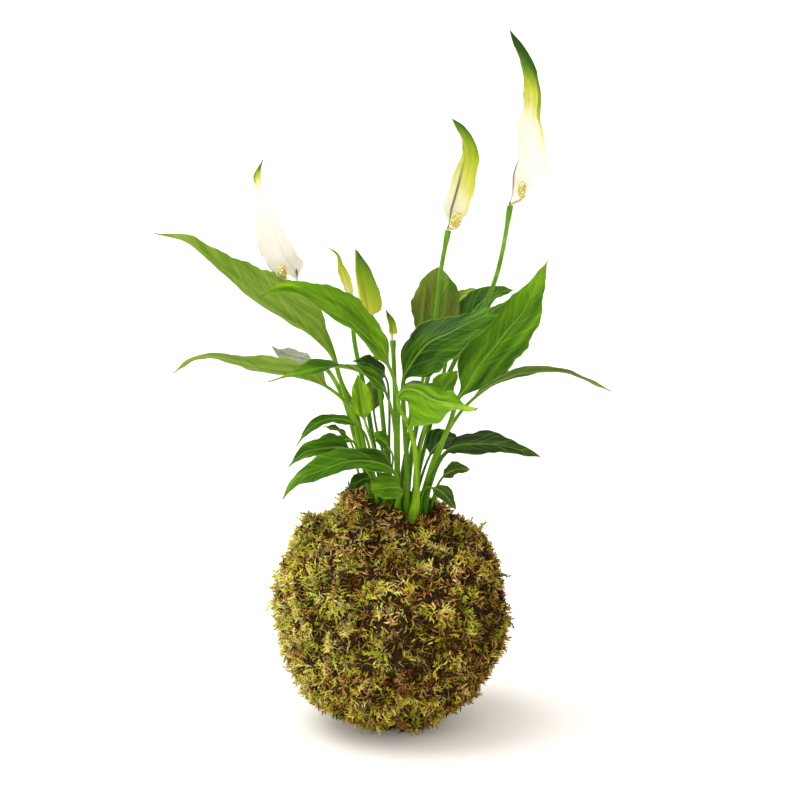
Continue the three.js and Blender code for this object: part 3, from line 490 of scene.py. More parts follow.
# %% Lofting a leaf
def shell_faces(rings, n):
    """The faces of a closed shell whose rings each have an upper and a lower row of n points."""
    def index(ring, row, column):
        return (ring * 2 + row) * n + column

    faces, last, end = [], rings - 1, n - 1
    for r in range(last):
        for c in range(end):
            faces.append((index(r, 0, c), index(r, 0, c + 1), index(r + 1, 0, c + 1), index(r + 1, 0, c)))
            faces.append((index(r, 1, c), index(r + 1, 1, c), index(r + 1, 1, c + 1), index(r, 1, c + 1)))
        faces.append((index(r, 1, 0), index(r, 0, 0), index(r + 1, 0, 0), index(r + 1, 1, 0)))
        faces.append((index(r, 1, end), index(r + 1, 1, end), index(r + 1, 0, end), index(r, 0, end)))
    for c in range(end):
        faces.append((index(0, 0, c), index(0, 1, c), index(0, 1, c + 1), index(0, 0, c + 1)))
        faces.append((index(last, 0, c), index(last, 0, c + 1), index(last, 1, c + 1), index(last, 1, c)))
    return faces


def blade_marks(leaf, stands, share, v, half, run):
    """lay says how far across and along a point is and on which face, span the same in mm, and a seed."""
    shape = (len(run), 2, leaf["columns"])

    def spread(*values):
        return np.stack([np.broadcast_to(value, shape) for value in values], -1).reshape(-1, 3)

    along = np.where(stands["s"] < 0, share[:, 0] - 1, stands["s"])
    upper = np.array([1.0, 0.0])[None, :, None]
    return {
        "lay": spread(v[:, None], along[:, None, None], upper),
        "span": spread((v * half)[:, None], run[:, None, None], leaf["seed"]),
        "tone": np.full(np.prod(shape), leaf["tone"]),
        "olive": np.full(np.prod(shape), leaf["olive"]),
    }


def loft(name, leaf, spine, blade_from, foot_points, material):
    """The closed mesh of a leaf, with marks for its finish."""
    stands = stands_of(spine, blade_from, foot_points, leaf["facing"])
    columns = leaf["columns"]
    x = np.linspace(-1, 1, columns)
    v = (np.sign(x) * np.abs(x) ** MIDDLE_IS_FINER)[None, :]
    s = np.maximum(stands["s"], 0)[:, None]
    share = np.minimum(stands["u"] / max(stands["start"], 1e-6), 1)[:, None]
    stalk = stalk_radius(leaf, stands, share, foot_points > 0)
    flat = smooth(0, FLAT_BY, s) * (stands["s"][:, None] >= 0)
    wide = leaf["width"] / 2 * lance(s, leaf["early"], leaf["point"])
    half = np.maximum(np.hypot(stalk * (1 - s), wide), TIP_HALF_WIDTH)
    across, out = bent_blade(leaf, v, s, half, (1 - stands["start"]) * spine.length)
    above, below = blade_thickness(stalk, s, v, np.abs(v) * half)
    angle = np.pi * (1 - (np.arange(columns) + 0.5) / columns)[None, :]
    rows = []
    for sign, thick in ((1, above), (-1, below)):
        a = stalk * np.cos(angle) * (1 - flat) + across * flat
        o = sign * stalk * np.sin(angle) * (1 - flat) + (out + sign * thick) * flat
        sideways, upwards = a[..., None] * stands["side"][:, None], o[..., None] * stands["up"][:, None]
        rows.append(stands["at"][:, None] + sideways + upwards)
    places = np.stack(rows, axis=1).reshape(-1, 3)
    marks = blade_marks(leaf, stands, share, v, half, stands["u"] * spine.length)
    return lay_mesh(name, places, shell_faces(len(s), columns), marks, material)


print("a shell of 3 rings and 5 columns has", len(shell_faces(3, 5)), "faces")

# %% [markdown]
# ## The green of the leaves
# A leaf is glossy and dark above, dull and greyer below, pale along the midrib, withered at the very tip,
# and light shines through it. One rule makes the finish of every leaf. It reads from the mesh how light
# the leaf is, as tone, and how old, as olive. The side veins follow the blade's own directions.

# %% Colours of blade and stalk
def vein_place(f, reach, along, seed):
    """Where the side vein through a point leaves the midrib, in mm, by the rule that quilts the mesh."""
    bowed = f.math("MULTIPLY_ADD", reach, QUILT["sweep"], QUILT["slant"])
    q = f.math("SUBTRACT", along, f.times(reach, bowed))
    drift = f.math("SINE", f.plus(f.times(q, QUILT["slow"]), seed))
    return f.math("MULTIPLY_ADD", drift, QUILT["drift"], q)


def blade_colour(f, tone, veins, blotch, upper):
    """Green above and greyer below, with pale veins, and olive in blotches where the leaf is old."""
    green = f.ramp(tone, [
        (0.0, (16, 38, 3)), (0.25, (40, 80, 6)), (0.5, (76, 126, 10)), (0.75, (122, 172, 18)),
        (1.0, (184, 218, 44)),
    ])
    green = f.mix(f.times(veins, 0.22), green, tint(154, 190, 60))
    aged = f.ramp(tone, [(0.0, (44, 46, 18)), (0.5, (104, 104, 44)), (1.0, (170, 164, 90))])
    green = f.mix(f.times(f.mark("olive"), f.span(blotch, 0.25, 0.6)), green, aged)
    under = f.ramp(tone, [(0.0, (58, 84, 18)), (0.45, (112, 146, 38)), (1.0, (190, 208, 96))])
    under = f.mix(f.times(veins, 0.3), under, tint(190, 208, 116))
    return f.mix(upper, under, green)


def with_midrib_margin_and_tip(f, colour, v, s, reach):
    width = f.span(s, 0.0, 1.0, 1.0, 0.25)
    midrib = f.span(reach, f.times(width, 0.35), f.times(width, 1.0), 1.0, 0.0)
    pale = f.mix(f.mark("tone"), tint(98, 142, 36), tint(184, 214, 84))
    colour = f.mix(f.times(midrib, 0.62), colour, pale)
    margin = f.mix(f.mark("olive"), tint(140, 180, 70), tint(120, 92, 48))
    colour = f.mix(f.times(f.span(f.math("ABSOLUTE", v), 0.93, 0.995), 0.5), colour, margin)
    return f.mix(f.span(s, 0.968, 0.998, 0.0, 0.8), colour, tint(104, 88, 52))


def leafstalk_colour(f, across, along, seed):
    """Pale where the stalk leaves the moss, greener above, with darker streaks."""
    foot = f.mix(f.mark("tone"), tint(70, 116, 14), tint(178, 212, 66))
    above = f.mix(f.mark("tone"), tint(30, 74, 6), tint(160, 208, 34))
    grain = f.noise_along(3.0, (across, 2.2), (along, 0.09), seed)
    stalk = f.mix(f.span(along, 4, 28), foot, above)
    return f.mix(f.span(grain, 0.42, 0.62, 0.0, 0.6), stalk, tint(66, 118, 12))


print("a main vein every", QUILT["spacing"], "mm along the midrib")

# %% Leaf finishes
FINE_VEIN_EVERY = 1.6
# The second of these sets how strong the painted fold shade is.
BLOTCHED_BY, FOLD_SHADE_BY, STREAKED_BY = 0.45, 0.8, 0.22
LIGHTER_TO_TIP = 0.12
FINE_VEINS_DARKER_BY = 0.018
GLOSSIER_ABOVE = 0.14


def leaf_finish(name, gloss, through):
    f = Finish(name, roughness=gloss, IOR=1.42, Specular_IOR_Level=0.16)
    v, s, upper = f.marks("lay")
    across, along, seed = f.marks("span")
    reach = f.math("ABSOLUTE", across)
    q = vein_place(f, reach, along, seed)
    blotch = f.noise_along(3.0, (across, 0.16), (q, 0.07), seed)
    streak = f.noise_along(4.0, (reach, 0.08), (q, 0.9), seed)
    # Painted shade: broad light and dark bands stretched along the blade stand in for the shading of its
    # folds.
    fold_shade = f.noise_along(2.0, (across, 0.3), (along, 0.022), seed)
    fine = f.math("SINE", f.times(q, 2 * math.pi / FINE_VEIN_EVERY))
    main = f.span(f.math("SINE", f.times(q, 2 * math.pi / QUILT["spacing"])), 0.7, 1.0)
    main = f.times(main, f.span(streak, 0.35, 0.6))
    tone = f.mark("tone")
    for pattern, amount in ((blotch, BLOTCHED_BY), (fold_shade, FOLD_SHADE_BY), (streak, STREAKED_BY)):
        tone = f.sway(tone, pattern, amount)
    tone = f.plus(tone, f.times(f.span(s, 0.55, 1.0), LIGHTER_TO_TIP))
    tone = f.math("SUBTRACT", tone, f.times(fine, FINE_VEINS_DARKER_BY))
    colour = blade_colour(f, tone, main, blotch, upper)
    colour = with_midrib_margin_and_tip(f, colour, v, s, reach)
    colour = f.mix(f.span(s, -0.03, 0.07), leafstalk_colour(f, across, along, seed), colour)
    f.paint(colour)
    dull = f.math("SUBTRACT", gloss + 0.1, f.times(upper, GLOSSIER_ABOVE))
    f.rough(f.math("MULTIPLY_ADD", streak, 0.18, dull))
    height = f.plus(f.times(fine, 0.22), f.plus(streak, f.times(main, -0.6)))
    normal = f.bump(height, 0.35, 0.0002)
    shine = f.mix(0.4, colour, tint(190, 226, 20))
    f.glow_through(shine, f.span(s, -0.02, 0.06, 0.04, through), normal)
    return f.material


LEAF_FINISHES = {
    "leaf_green": leaf_finish("leaf_fresh", 0.36, 0.24),
    "leaf_dark": leaf_finish("leaf_deep", 0.32, 0.16),
    "leaf_pale": leaf_finish("leaf_underside", 0.42, 0.24),
    "leaf_grey": leaf_finish("leaf_withered", 0.6, 0.12),
}
print("leaf finishes:", ", ".join(LEAF_FINISHES))

# %% [markdown]
# ## Placing the leaves
# Twenty-seven leaves are told apart in the photograph. Each has the place of its root in the soil, the
# points its stem passes, the point at which its blade begins, and the direction its upper face looks.

# %% The leaves
LEAVES = {
    "leaf_01": dict(
        root=(-6, 5.5), slot="leaf_pale", stalk=1.7, columns=25, width=38, early=0.62, point=1.3,
        blade=3, fold=28, phase=0.6, tone=0.5,
        points=[(-15, 4, 150), (-20, 8, 172), (-26, 14, 188), (-33, 16, 211), (-38, 18, 217),
          (-48, 21, 225), (-61, 24, 233), (-77, 28, 242), (-93, 30, 255), (-107, 30, 268),
          (-116, 30, 275), (-134, 28, 280)],
        facing=[(0.5, 0.62, 0.58), (0.4, 0.66, 0.6), (0.3, 0.5, 0.8)]),
    "leaf_02": dict(
        root=(-6, -2.9), slot="leaf_pale", columns=25, width=32, early=0.55, point=1.1, blade=3,
        tone=0.5,
        points=[(-13, -5, 150), (-17, -7, 174), (-25, -9, 190), (-34, -12, 199), (-44, -16, 205),
          (-60, -22, 210), (-80, -28, 215), (-96, -33, 221), (-107, -36, 221), (-119, -40, 214)],
        facing=[(0.1, 0.5, 0.86), (0.05, 0.42, 0.9)]),
    "leaf_03": dict(
        root=(3.8, -2.9), slot="leaf_green", columns=25, width=24, blade=3, fold=25, phase=1.2,
        tone=0.62,
        points=[(4, -11, 152), (4, -14, 176), (4, -17, 195), (0, -20, 211), (-8, -26, 225),
          (-17, -32, 236), (-27, -38, 246), (-39, -44, 254), (-54, -52, 262), (-69, -60, 261)],
        facing=[(0.45, -0.62, 0.6), (0.4, -0.55, 0.7), (0.2, -0.4, 0.9)]),
    "leaf_04": dict(
        root=(6.2, -7.1), slot="leaf_green", stalk=1.2, width=14, blade=2, wave=1, tone=0.42,
        points=[(4, -15, 154), (2, -22, 178), (-1, -28, 196), (-7, -37, 208), (-20, -45, 217),
          (-38, -53, 220), (-66, -62, 214)],
        facing=[(0.2, -0.6, 0.75), (0, -0.55, 0.8), (0, 0.1, 0.99), (0, -0.5, 0.85), (0.1, -0.1, 0.98)]),
    "leaf_05": dict(
        root=(1.3, 1.3), slot="leaf_dark", stalk=1, width=12, blade=2, tone=0.1,
        points=[(-1, -5, 160), (-1, -8, 190), (-3, -14, 206), (-12, -22, 215), (-21, -27, 218)],
        facing=[(0.2, -0.6, 0.75), (0, -0.6, 0.8)]),
    "leaf_06": dict(
        root=(8.7, -11.3), slot="leaf_dark", stalk=1.9, columns=25, width=29, early=0.62, blade=4,
        fold=-17, tone=0.26, sheath=0.5,
        points=[(9, -18, 140), (9, -20, 155), (8, -21, 175), (7, -23, 192), (7, -27, 207), (11, -29, 216),
          (15, -32, 223), (21, -34, 230), (31, -35, 235), (41, -34, 240), (52, -33, 245), (62, -31, 251)],
        facing=[(-0.3, -0.85, 0.4), (-0.25, -0.75, 0.6), (-0.2, -0.7, 0.65)]),
    "leaf_07": dict(
        root=(16, -7.1), slot="leaf_green", stalk=2.1, columns=25, width=30, point=1.2, blade=4, fold=12,
        wave=2.3, waves=3, tone=0.47, sheath=0.75,
        points=[(20, -14, 144), (25, -18, 162), (29, -19, 171), (33, -19, 181), (37, -18, 194),
          (42, -18, 201), (49, -17, 213), (58, -15, 224), (66, -13, 234), (73, -11, 242), (79, -8, 253),
          (87, -4, 270)],
        facing=[(-0.3, -0.93, 0.2), (-0.15, -0.95, 0.2), (-0.2, -0.9, 0.3)]),
    "leaf_08": dict(
        root=(3.8, 13.9), slot="leaf_dark", columns=21, width=28, early=1.05, point=0.7, blade=2,
        tone=0.49, olive=0.75,
        points=[(9, 10, 160), (16, 15, 190), (22, 24, 214), (25, 30, 235), (27, 37, 259)],
        facing=[(0.1, -0.9, 0.4), (0.1, -0.8, 0.5)]),
    "leaf_09": dict(
        root=(11.1, 11.7), slot="leaf_dark", columns=21, width=20, blade=2, tone=0.26,
        points=[(17, 13, 150), (28, 20, 192), (35, 27, 218), (46, 34, 233), (58, 40, 243), (70, 46, 244)],
        facing=[(-0.3, -0.7, 0.6), (-0.3, -0.5, 0.8)]),
    "leaf_10": dict(
        root=(6.2, 18.1), slot="leaf_grey", stalk=1, width=8, roll=110, blade=2, tone=0.8, olive=1,
        points=[(13, 20, 160), (24, 32, 205), (35, 42, 232), (42, 47, 241), (49, 49, 244)],
        facing=[(-0.4, -0.8, 0.4), (-0.3, -0.5, 0.8)]),
    "leaf_11": dict(
        root=(18.5, -2.9), slot="leaf_dark", width=11.5, blade=4, fold=12, wave=0.6, tone=0.42,
        olive=0.45,
        points=[(22, -6, 146), (27, -7, 160), (31, -6, 171), (36, -3, 179), (43, 1, 187), (57, 6, 197),
          (69, 8, 202), (84, 10, 204), (100, 11, 203), (125, 12, 192)],
        facing=[(-0.4, -0.2, 0.88), (-0.1, -0.12, 0.98), (0.2, -0.1, 0.97)]),
    "leaf_12": dict(
        root=(11.1, -15.5), slot="leaf_green", columns=25, width=29, stalk=2, early=0.6, blade=3, fold=-32,
        wave=5.4, waves=1.2, phase=2.07, tone=0.66, sheath=0.9,
        points=[(14, -19, 137), (14, -24, 160), (11, -29, 179), (4, -35, 197), (7, -38, 204),
          (14, -42, 205), (23, -47, 201), (35, -53, 200), (47, -60, 199)],
        facing=[(-0.4, -0.6, 0.6), (-0.1, -0.5, 0.87), (0, -0.6, 0.8)]),
    "leaf_13": dict(
        root=(18.5, -11.3), slot="leaf_dark", columns=21, width=17, stalk=1.8, early=0.65, blade=3, fold=8,
        tone=0.06, olive=0.2, sheath=0.4,
        points=[(20, -17, 138), (23, -22, 150), (26, -26, 159), (30, -29, 166), (37, -32, 171),
          (47, -35, 173), (60, -38, 173), (71, -41, 171), (82, -44, 168)],
        facing=[(-0.3, -0.5, 0.8), (0, -0.5, 0.87)]),
    "leaf_14": dict(
        root=(20.9, -7.1), slot="leaf_dark", stalk=1, width=10, blade=1, tone=0.3, olive=0.7,
        points=[(25, -13, 140), (29, -16, 149), (36, -19, 154), (44, -22, 155)],
        facing=[(-0.3, -0.6, 0.75), (0, -0.6, 0.8)]),
    "leaf_15": dict(
        root=(16, -15.5), slot="leaf_dark", stalk=1, width=9, blade=2, tone=0.22, olive=0.3,
        points=[(16.5, -16, 133), (19, -21.5, 144), (23, -28, 146), (29, -32, 144), (36, -36, 136)],
        facing=[(-0.2, -0.6, 0.75), (0.1, -0.6, 0.8)]),
    "leaf_16": dict(
        root=(-1.1, -2.9), slot="leaf_green", stalk=1.1, width=7, blade=3, tone=0.36,
        points=[(-10, -8, 150), (-12, -10, 164), (-15, -13, 174), (-19, -18, 179), (-25, -22, 183),
          (-35, -28, 185), (-45, -33, 181), (-52, -36, 172)],
        facing=[(0.3, -0.6, 0.75), (0, -0.65, 0.76), (-0.3, -0.6, 0.7)]),
    "leaf_17": dict(
        root=(-8.5, 1.3), slot="leaf_dark", stalk=0.9, width=4, blade=2, tone=0.4, olive=0.5,
        points=[(-19, -2, 150), (-21, -3, 162), (-25, -5, 170), (-31, -8, 175), (-38, -10, 177)],
        facing=[(0.2, -0.6, 0.75)]),
    "leaf_18": dict(
        root=(-8.5, -7.1), slot="leaf_dark", stalk=1, width=5, blade=2, tone=0.36,
        points=[(-15, -10, 150), (-18, -14, 163), (-21, -18, 170), (-29, -23, 173), (-36, -28, 175),
          (-42, -31, 174)],
        facing=[(0.2, -0.6, 0.75)]),
    "leaf_19": dict(
        root=(-6, -11.3), slot="leaf_green", stalk=1.2, width=14, early=0.55, blade=2, tone=0.4,
        points=[(-10, -17, 146), (-15, -22, 158), (-22, -26.5, 166), (-27, -30.5, 169.5),
          (-38, -36.5, 170.5), (-48, -40, 169), (-56, -43, 162)],
        facing=[(0.2, -0.6, 0.75), (-0.1, -0.65, 0.76)]),
    "leaf_20": dict(
        root=(3.8, -11.3), slot="leaf_dark", columns=25, width=18, blade=1, fold=16, wave=1.2, tone=0.4,
        points=[(4, -20, 140), (3, -28, 153), (-6, -36, 162), (-22, -43, 165), (-40, -50, 161),
          (-52, -54, 156), (-59, -56, 147)],
        facing=[(0.2, -0.65, 0.73), (-0.1, -0.55, 0.83), (-0.5, -0.65, 0.55)]),
    "leaf_21": dict(
        root=(-3.6, -15.5), slot="leaf_dark", stalk=1, width=9, blade=2, tone=0.2,
        points=[(-4, -17, 137), (-7, -22, 148), (-11, -28, 151), (-16, -33, 152), (-24, -37, 147)],
        facing=[(0.1, -0.75, 0.65), (-0.3, -0.7, 0.65)]),
    "leaf_22": dict(
        root=(1.3, -15.5), slot="leaf_green", stalk=1, width=16, early=0.95, point=0.6, blade=2,
        tone=0.5,
        points=[(3, -19, 134), (6, -26, 142), (5, -33, 147), (-2, -39, 149), (-11, -44, 149)],
        facing=[(0.2, -0.75, 0.6), (0, -0.8, 0.55)]),
    "leaf_23": dict(
        root=(13.6, -2.9), slot="leaf_green", stalk=1.1, width=15, blade=2, tone=0.6, olive=0.1,
        points=[(16, -6, 160), (21, -5, 180), (26, -6, 191), (31, -8, 200), (37, -11, 209)],
        facing=[(-0.4, -0.85, 0.3)]),
    "leaf_24": dict(
        root=(11.1, 1.3), slot="leaf_dark", stalk=1.1, width=17, blade=1, wave=1.2, tone=0.14,
        points=[(18, -3, 148), (22, -1.5, 158), (26, 1, 163.5), (31, 5, 166.5), (38, 9, 165)],
        facing=[(-0.5, -0.6, 0.6), (-0.1, -0.6, 0.8)]),
    "leaf_25": dict(
        root=(-1.1, 5.5), slot="leaf_green", stalk=1.1, width=13, blade=2, tone=0.75,
        points=[(-8, 6, 154), (-12, 7, 167), (-15, 9, 176), (-17, 12, 187), (-19, 15, 201)],
        facing=[(0.3, -0.9, 0.2)]),
    "leaf_26": dict(
        root=(-1.1, 13.9), slot="leaf_pale", stalk=1, width=13, blade=2, tone=0.3, olive=0.5,
        points=[(-4, 14, 152), (-8, 19, 167), (-10, 24, 178), (-11, 30, 186), (-12, 36, 193)],
        facing=[(0.1, -0.85, 0.5)]),
    "leaf_27": dict(
        root=(1.3, -7.1), slot="leaf_green", stalk=0.9, width=10, blade=2, tone=0.5,
        points=[(0, -10, 148), (1, -13, 161), (-2, -16, 167), (-6, -19, 172), (-10, -22, 176)],
        facing=[(0.4, -0.7, 0.6)]),
}


def stem_points(stem):
    x, y = stem["root"]
    return [(x, y, z) for z in FOOT_HEIGHTS] + list(stem["points"])


leaf_faces = 0
for number, (name, given) in enumerate(LEAVES.items()):
    leaf = {**LEAF_DEFAULTS, "seed": number * 3.7, **given}
    spine = Spine(stem_points(leaf))
    foot = len(FOOT_HEIGHTS)
    piece = loft(name + "_blade", leaf, spine, leaf["blade"] + foot, foot, LEAF_FINISHES[leaf["slot"]])
    stands_for(piece, name)
    leaf_faces += len(piece.data.polygons)
print(len(LEAVES), "leaves of", leaf_faces, "faces in all")

# %% [markdown]
# ## Geometry Nodes helper
# What repeats, or follows a path or a surface, is made by Geometry Nodes. Each tree is built here with
# named inputs. Its result is turned into a plain mesh at once, so that nothing live is left.

# %% Growing with Geometry Nodes
class Grower(Wiring):
    """A Geometry Nodes tree with named inputs."""

    def __init__(self, name, inputs):
        super().__init__(bpy.data.node_groups.new(name, "GeometryNodeTree"))
        face = self.tree.interface
        for way in ("INPUT", "OUTPUT"):
            face.new_socket("Geometry", in_out=way, socket_type="NodeSocketGeometry")
        for label, kind in inputs.items():
            face.new_socket(label, in_out="INPUT", socket_type="NodeSocket" + kind)
        self.given = self.tree.nodes.new("NodeGroupInput").outputs
        self.result = self.tree.nodes.new("NodeGroupOutput").inputs[0]

    def chance(self, low, high, seed, kind="FLOAT"):
        """A random number for each element."""
        node = self.add("FunctionNodeRandomValue", data_type=kind)
        least, most = [s for s in node.inputs if s.enabled][:2]
        self.put(least, low)
        self.put(most, high)
        self.put(next(s for s in node.inputs if s.name == "Seed"), seed)
        return next(s for s in node.outputs if s.enabled)

    def scaled(self, vector, factor):
        node = self.add("ShaderNodeVectorMath", {0: vector, "Scale": factor}, operation="SCALE")
        return node.outputs[0]

    def toned(self, placed, seed):
        """Gives each placed piece a random value of its own, which its finish reads as tone."""
        values = {"Geometry": placed, "Name": "tone", "Value": self.chance(0.0, 1.0, seed)}
        node = self.add("GeometryNodeStoreNamedAttribute", values, domain="INSTANCE", data_type="FLOAT")
        return node.outputs[0]

    def end(self, geometry):
        """Ends the tree: what was placed becomes a real mesh, with its finish."""
        real = self.add("GeometryNodeRealizeInstances", {"Geometry": geometry}).outputs[0]
        finished = self.add("GeometryNodeSetMaterial", {"Geometry": real, "Material": self.given["Finish"]})
        self.put(self.result, finished.outputs[0])

    def grow(self, source, name, **values):
        """Runs the tree on a source object and keeps what it makes as a plain mesh object."""
        modifier = source.modifiers.new("grow", "NODES")
        modifier.node_group = self.tree
        for item in self.tree.interface.items_tree:
            if item.in_out == "INPUT" and item.name in values:
                modifier[item.identifier] = values[item.name]
        bpy.context.view_layer.update()
        graph = bpy.context.evaluated_depsgraph_get()
        mesh = bpy.data.meshes.new_from_object(
            source.evaluated_get(graph), preserve_all_data_layers=True, depsgraph=graph)
        mesh.name = name
        source.modifiers.clear()
        piece = bpy.data.objects.new(name, mesh)
        bpy.context.scene.collection.objects.link(piece)
        return piece


print("grower calls:", ", ".join(name for name in vars(Grower) if not name.startswith("_")))

# %% Paths to sweep along
def discard(*objects):
    """Takes away what was only a help."""
    for thing in objects:
        data = thing.data
        bpy.data.objects.remove(thing)
        (bpy.data.curves if isinstance(data, bpy.types.Curve) else bpy.data.meshes).remove(data)


def path_object(name, paths, closed, radii):
    """A curve object of one or more paths in millimetres, with a radius for each of their points."""
    curve = bpy.data.curves.new(name, "CURVE")
    curve.dimensions = "3D"
    for places, radius in zip(paths, radii):
        line = curve.splines.new("POLY")
        line.points.add(len(places) - 1)
        flat = np.column_stack([np.asarray(places) * MM, np.ones(len(places))])
        line.points.foreach_set("co", flat.ravel())
        line.points.foreach_set("radius", np.asarray(radius, float))
        line.use_cyclic_u = closed
    thing = bpy.data.objects.new(name, curve)
    bpy.context.scene.collection.objects.link(thing)
    return thing


test_path = path_object("test_path", [[(0, 0, 0), (0, 0, 9)]], False, [[1, 1]])
print("a test path has", len(test_path.data.splines[0].points), "points")
discard(test_path)

# %% [markdown]
# ## Flower stalks
# A flower stalk is a round green rod that bends a little and swells below the flower. It could be lofted
# as the leaves are, but a path and a round section say all there is to say, so Curve to Mesh sweeps it.

# %% Sweeping along a path
sweep = Grower("sweep_along_path", {
    "Sides": "Int", "Section Radius": "Float", "Lobes": "Int", "Lobe Depth": "Float", "Twist": "Float",
    "Finish": "Material",
})


def build_sweep(g):
    """A lobed section, turned about the path by a fixed angle for each point of it."""
    section = g.add("GeometryNodeCurvePrimitiveCircle", {
        "Resolution": g.given["Sides"], "Radius": g.given["Section Radius"]})
    index = g.add("GeometryNodeInputIndex").outputs[0]
    turn = g.math("DIVIDE", g.times(index, g.given["Lobes"]), g.given["Sides"])
    depth = g.times(g.math("SINE", g.times(turn, 2 * math.pi)), g.given["Lobe Depth"])
    place = g.scaled(g.add("GeometryNodeInputPosition").outputs[0], g.plus(depth, 1.0))
    lobed = g.add("GeometryNodeSetPosition", {"Geometry": section.outputs[0], "Position": place})
    tilted = g.add("GeometryNodeSetCurveTilt", {
        "Curve": g.given["Geometry"], "Tilt": g.times(index, g.given["Twist"])})
    radius = g.add("GeometryNodeInputRadius").outputs[0]
    swept = g.add("GeometryNodeCurveToMesh", {
        "Curve": tilted.outputs[0], "Profile Curve": lobed.outputs[0], "Scale": radius, "Fill Caps": True})
    g.end(g.add("GeometryNodeSetShadeSmooth", {"Geometry": swept.outputs[0]}).outputs[0])


build_sweep(sweep)
print("sweep tree has", len(sweep.tree.nodes), "nodes")

# %% Flower stalks
def stalk_finish():
    f = Finish("flower_stalk_green", roughness=0.42, IOR=1.42, Specular_IOR_Level=0.2)
    grain = f.noise(1.0, 3.0, f.place((900, 900, 60)))
    height = f.span(f.mark("along"), 0.1, 0.95)
    colour = f.mix(height, tint(70, 118, 14), tint(96, 146, 20))
    colour = f.mix(f.span(grain, 0.4, 0.65, 0.0, 0.6), colour, tint(62, 108, 12))
    colour = f.mix(f.span(f.noise(70, 2.0), 0.52, 0.72, 0.0, 0.5), colour, tint(150, 194, 52))
    f.dress(colour, grain, rough=(0.2, 0.32), bump=(0.3, 0.0002))
    return f.material


STALK_GREEN = stalk_finish()
STALK_FOOT_RADIUS, STALK_TIP_RADIUS = 1.5, 1.25
STALK_SWELLING, SWELLS_FROM, SWOLLEN_BY = 0.5, 0.94, 0.985
STALK_POINT_GAP = 2.5
STALK_SECTION = {
    "Sides": 12, "Section Radius": MM, "Lobes": 5, "Lobe Depth": 0.03, "Twist": 0.02, "Finish": STALK_GREEN}
STALKS = {
    "flower_1": dict(root=(-6, 13.9), points=[(-15, 13, 158), (-21, 18, 181), (-28, 22, 194),
      (-35, 27, 217), (-44, 31, 236), (-52, 33, 249)]),
    "flower_2": dict(root=(8.7, 5.5), points=[(12, 3, 160), (18, 4, 190), (23, 5, 212), (25, 5, 234),
      (28, 6, 263), (32, 8, 285)]),
    "flower_3": dict(root=(13.6, 5.5), points=[(16, 7, 160), (34, 13, 205), (53, 16, 241), (59, 18, 256),
      (63, 20, 272), (67, 20, 297)]),
    "bud_1": dict(root=(-3.6, 18.1), points=[(-10, 17, 160), (-15, 22, 190), (-21, 22, 220),
      (-22, 20, 242)]),
    "bud_2": dict(root=(1.3, 9.7), points=[(-3, 8, 160), (-6, 10, 190), (-9, 15, 214), (-12, 16, 230)]),
    "bud_3": dict(root=(3.8, 5.5), points=[(3, 4, 160), (2, 8, 198), (1, 10, 222)]),
    "faded_flower": dict(root=(-8.5, 9.7), points=[(-11, 10, 132), (-14, 10, 143), (-19, 14, 158),
      (-27, 26, 184), (-36, 33, 199), (-42, 36, 203)]),
}
STALK_ENDS = {}
for name, stem in STALKS.items():
    spine = Spine(stem_points(stem))
    shares = np.linspace(0, 1, int(spine.length / STALK_POINT_GAP))
    at = spine.at(spine.parameter(shares))
    swell = STALK_SWELLING * smooth(SWELLS_FROM, SWOLLEN_BY, shares)
    radius = STALK_FOOT_RADIUS + (STALK_TIP_RADIUS - STALK_FOOT_RADIUS) * shares + swell
    path = path_object(name + "_path", [at], False, [radius])
    piece = sweep.grow(path, name + "_rod", **STALK_SECTION)
    discard(path)
    low, high = FOOT_HEIGHTS[0], at[-1][2]
    heights = np.array([v.co.z for v in piece.data.vertices]) / MM
    piece.data.attributes.new("along", "FLOAT", "POINT").data.foreach_set(
        "value", ((heights - low) / (high - low)).astype(np.float32))
    stands_for(piece, name + "_stalk")
    STALK_ENDS[name] = (at[-1], spine.slope(spine.spans))
    print(name, "stalk:", len(piece.data.polygons), "faces, top at", np.round(at[-1], 1))

# %% [markdown]
# ## Spathes
# The white sail of a peace lily's flower is a spathe, a leaf turned white. It could be a cut sheet rolled
# to a scoop, but it is lofted as the leaves are, because it has a stalk's foot and a leaf's margin. Its
# finish runs from white at the foot through yellow to a green tip, greener to one side, with a green
# midline that fades. One sail has a brown withered spot. A bud is the same leaf still rolled up, and the
# faded flower is a small grey one, dry as paper.

# %% Spathe finishes
SPOT_HALF_WIDTH, SPOT_HALF_HEIGHT, SPOT_RAGGED_BY = 1.5, 2.7, 0.6
MIDLINE_IN, MIDLINE_OUT = 0.35, 1.0
MIDLINE_FADES_TO = 0.25
STRAIGHT_MIDLINE = (0.0, 0.3, 0.6)


def with_withered_spot(f, colour, across, along, at):
    over = f.math("DIVIDE", f.math("SUBTRACT", across, at[0]), SPOT_HALF_WIDTH)
    up = f.math("DIVIDE", f.math("SUBTRACT", along, at[1]), SPOT_HALF_HEIGHT)
    apart = f.math("SQRT", f.plus(f.times(over, over), f.times(up, up)))
    apart = f.sway(apart, f.noise(900, 2.0), SPOT_RAGGED_BY)
    return f.mix(f.span(apart, 0.75, 1.1, 0.9, 0.0), colour, tint(64, 38, 14))


def with_midline(f, colour, across, along, s, strength, line):
    """A dark green line. line gives its slant and the shares of the length between which it fades."""
    slant, fade_from, faded_by = line
    off_line = f.math("ABSOLUTE", f.math("SUBTRACT", across, f.times(along, slant)))
    near = f.span(off_line, MIDLINE_IN, MIDLINE_OUT, 1.0, 0.0)
    lined = f.times(near, f.span(s, fade_from, faded_by, strength, MIDLINE_FADES_TO * strength))
    return f.mix(lined, colour, tint(54, 96, 18))


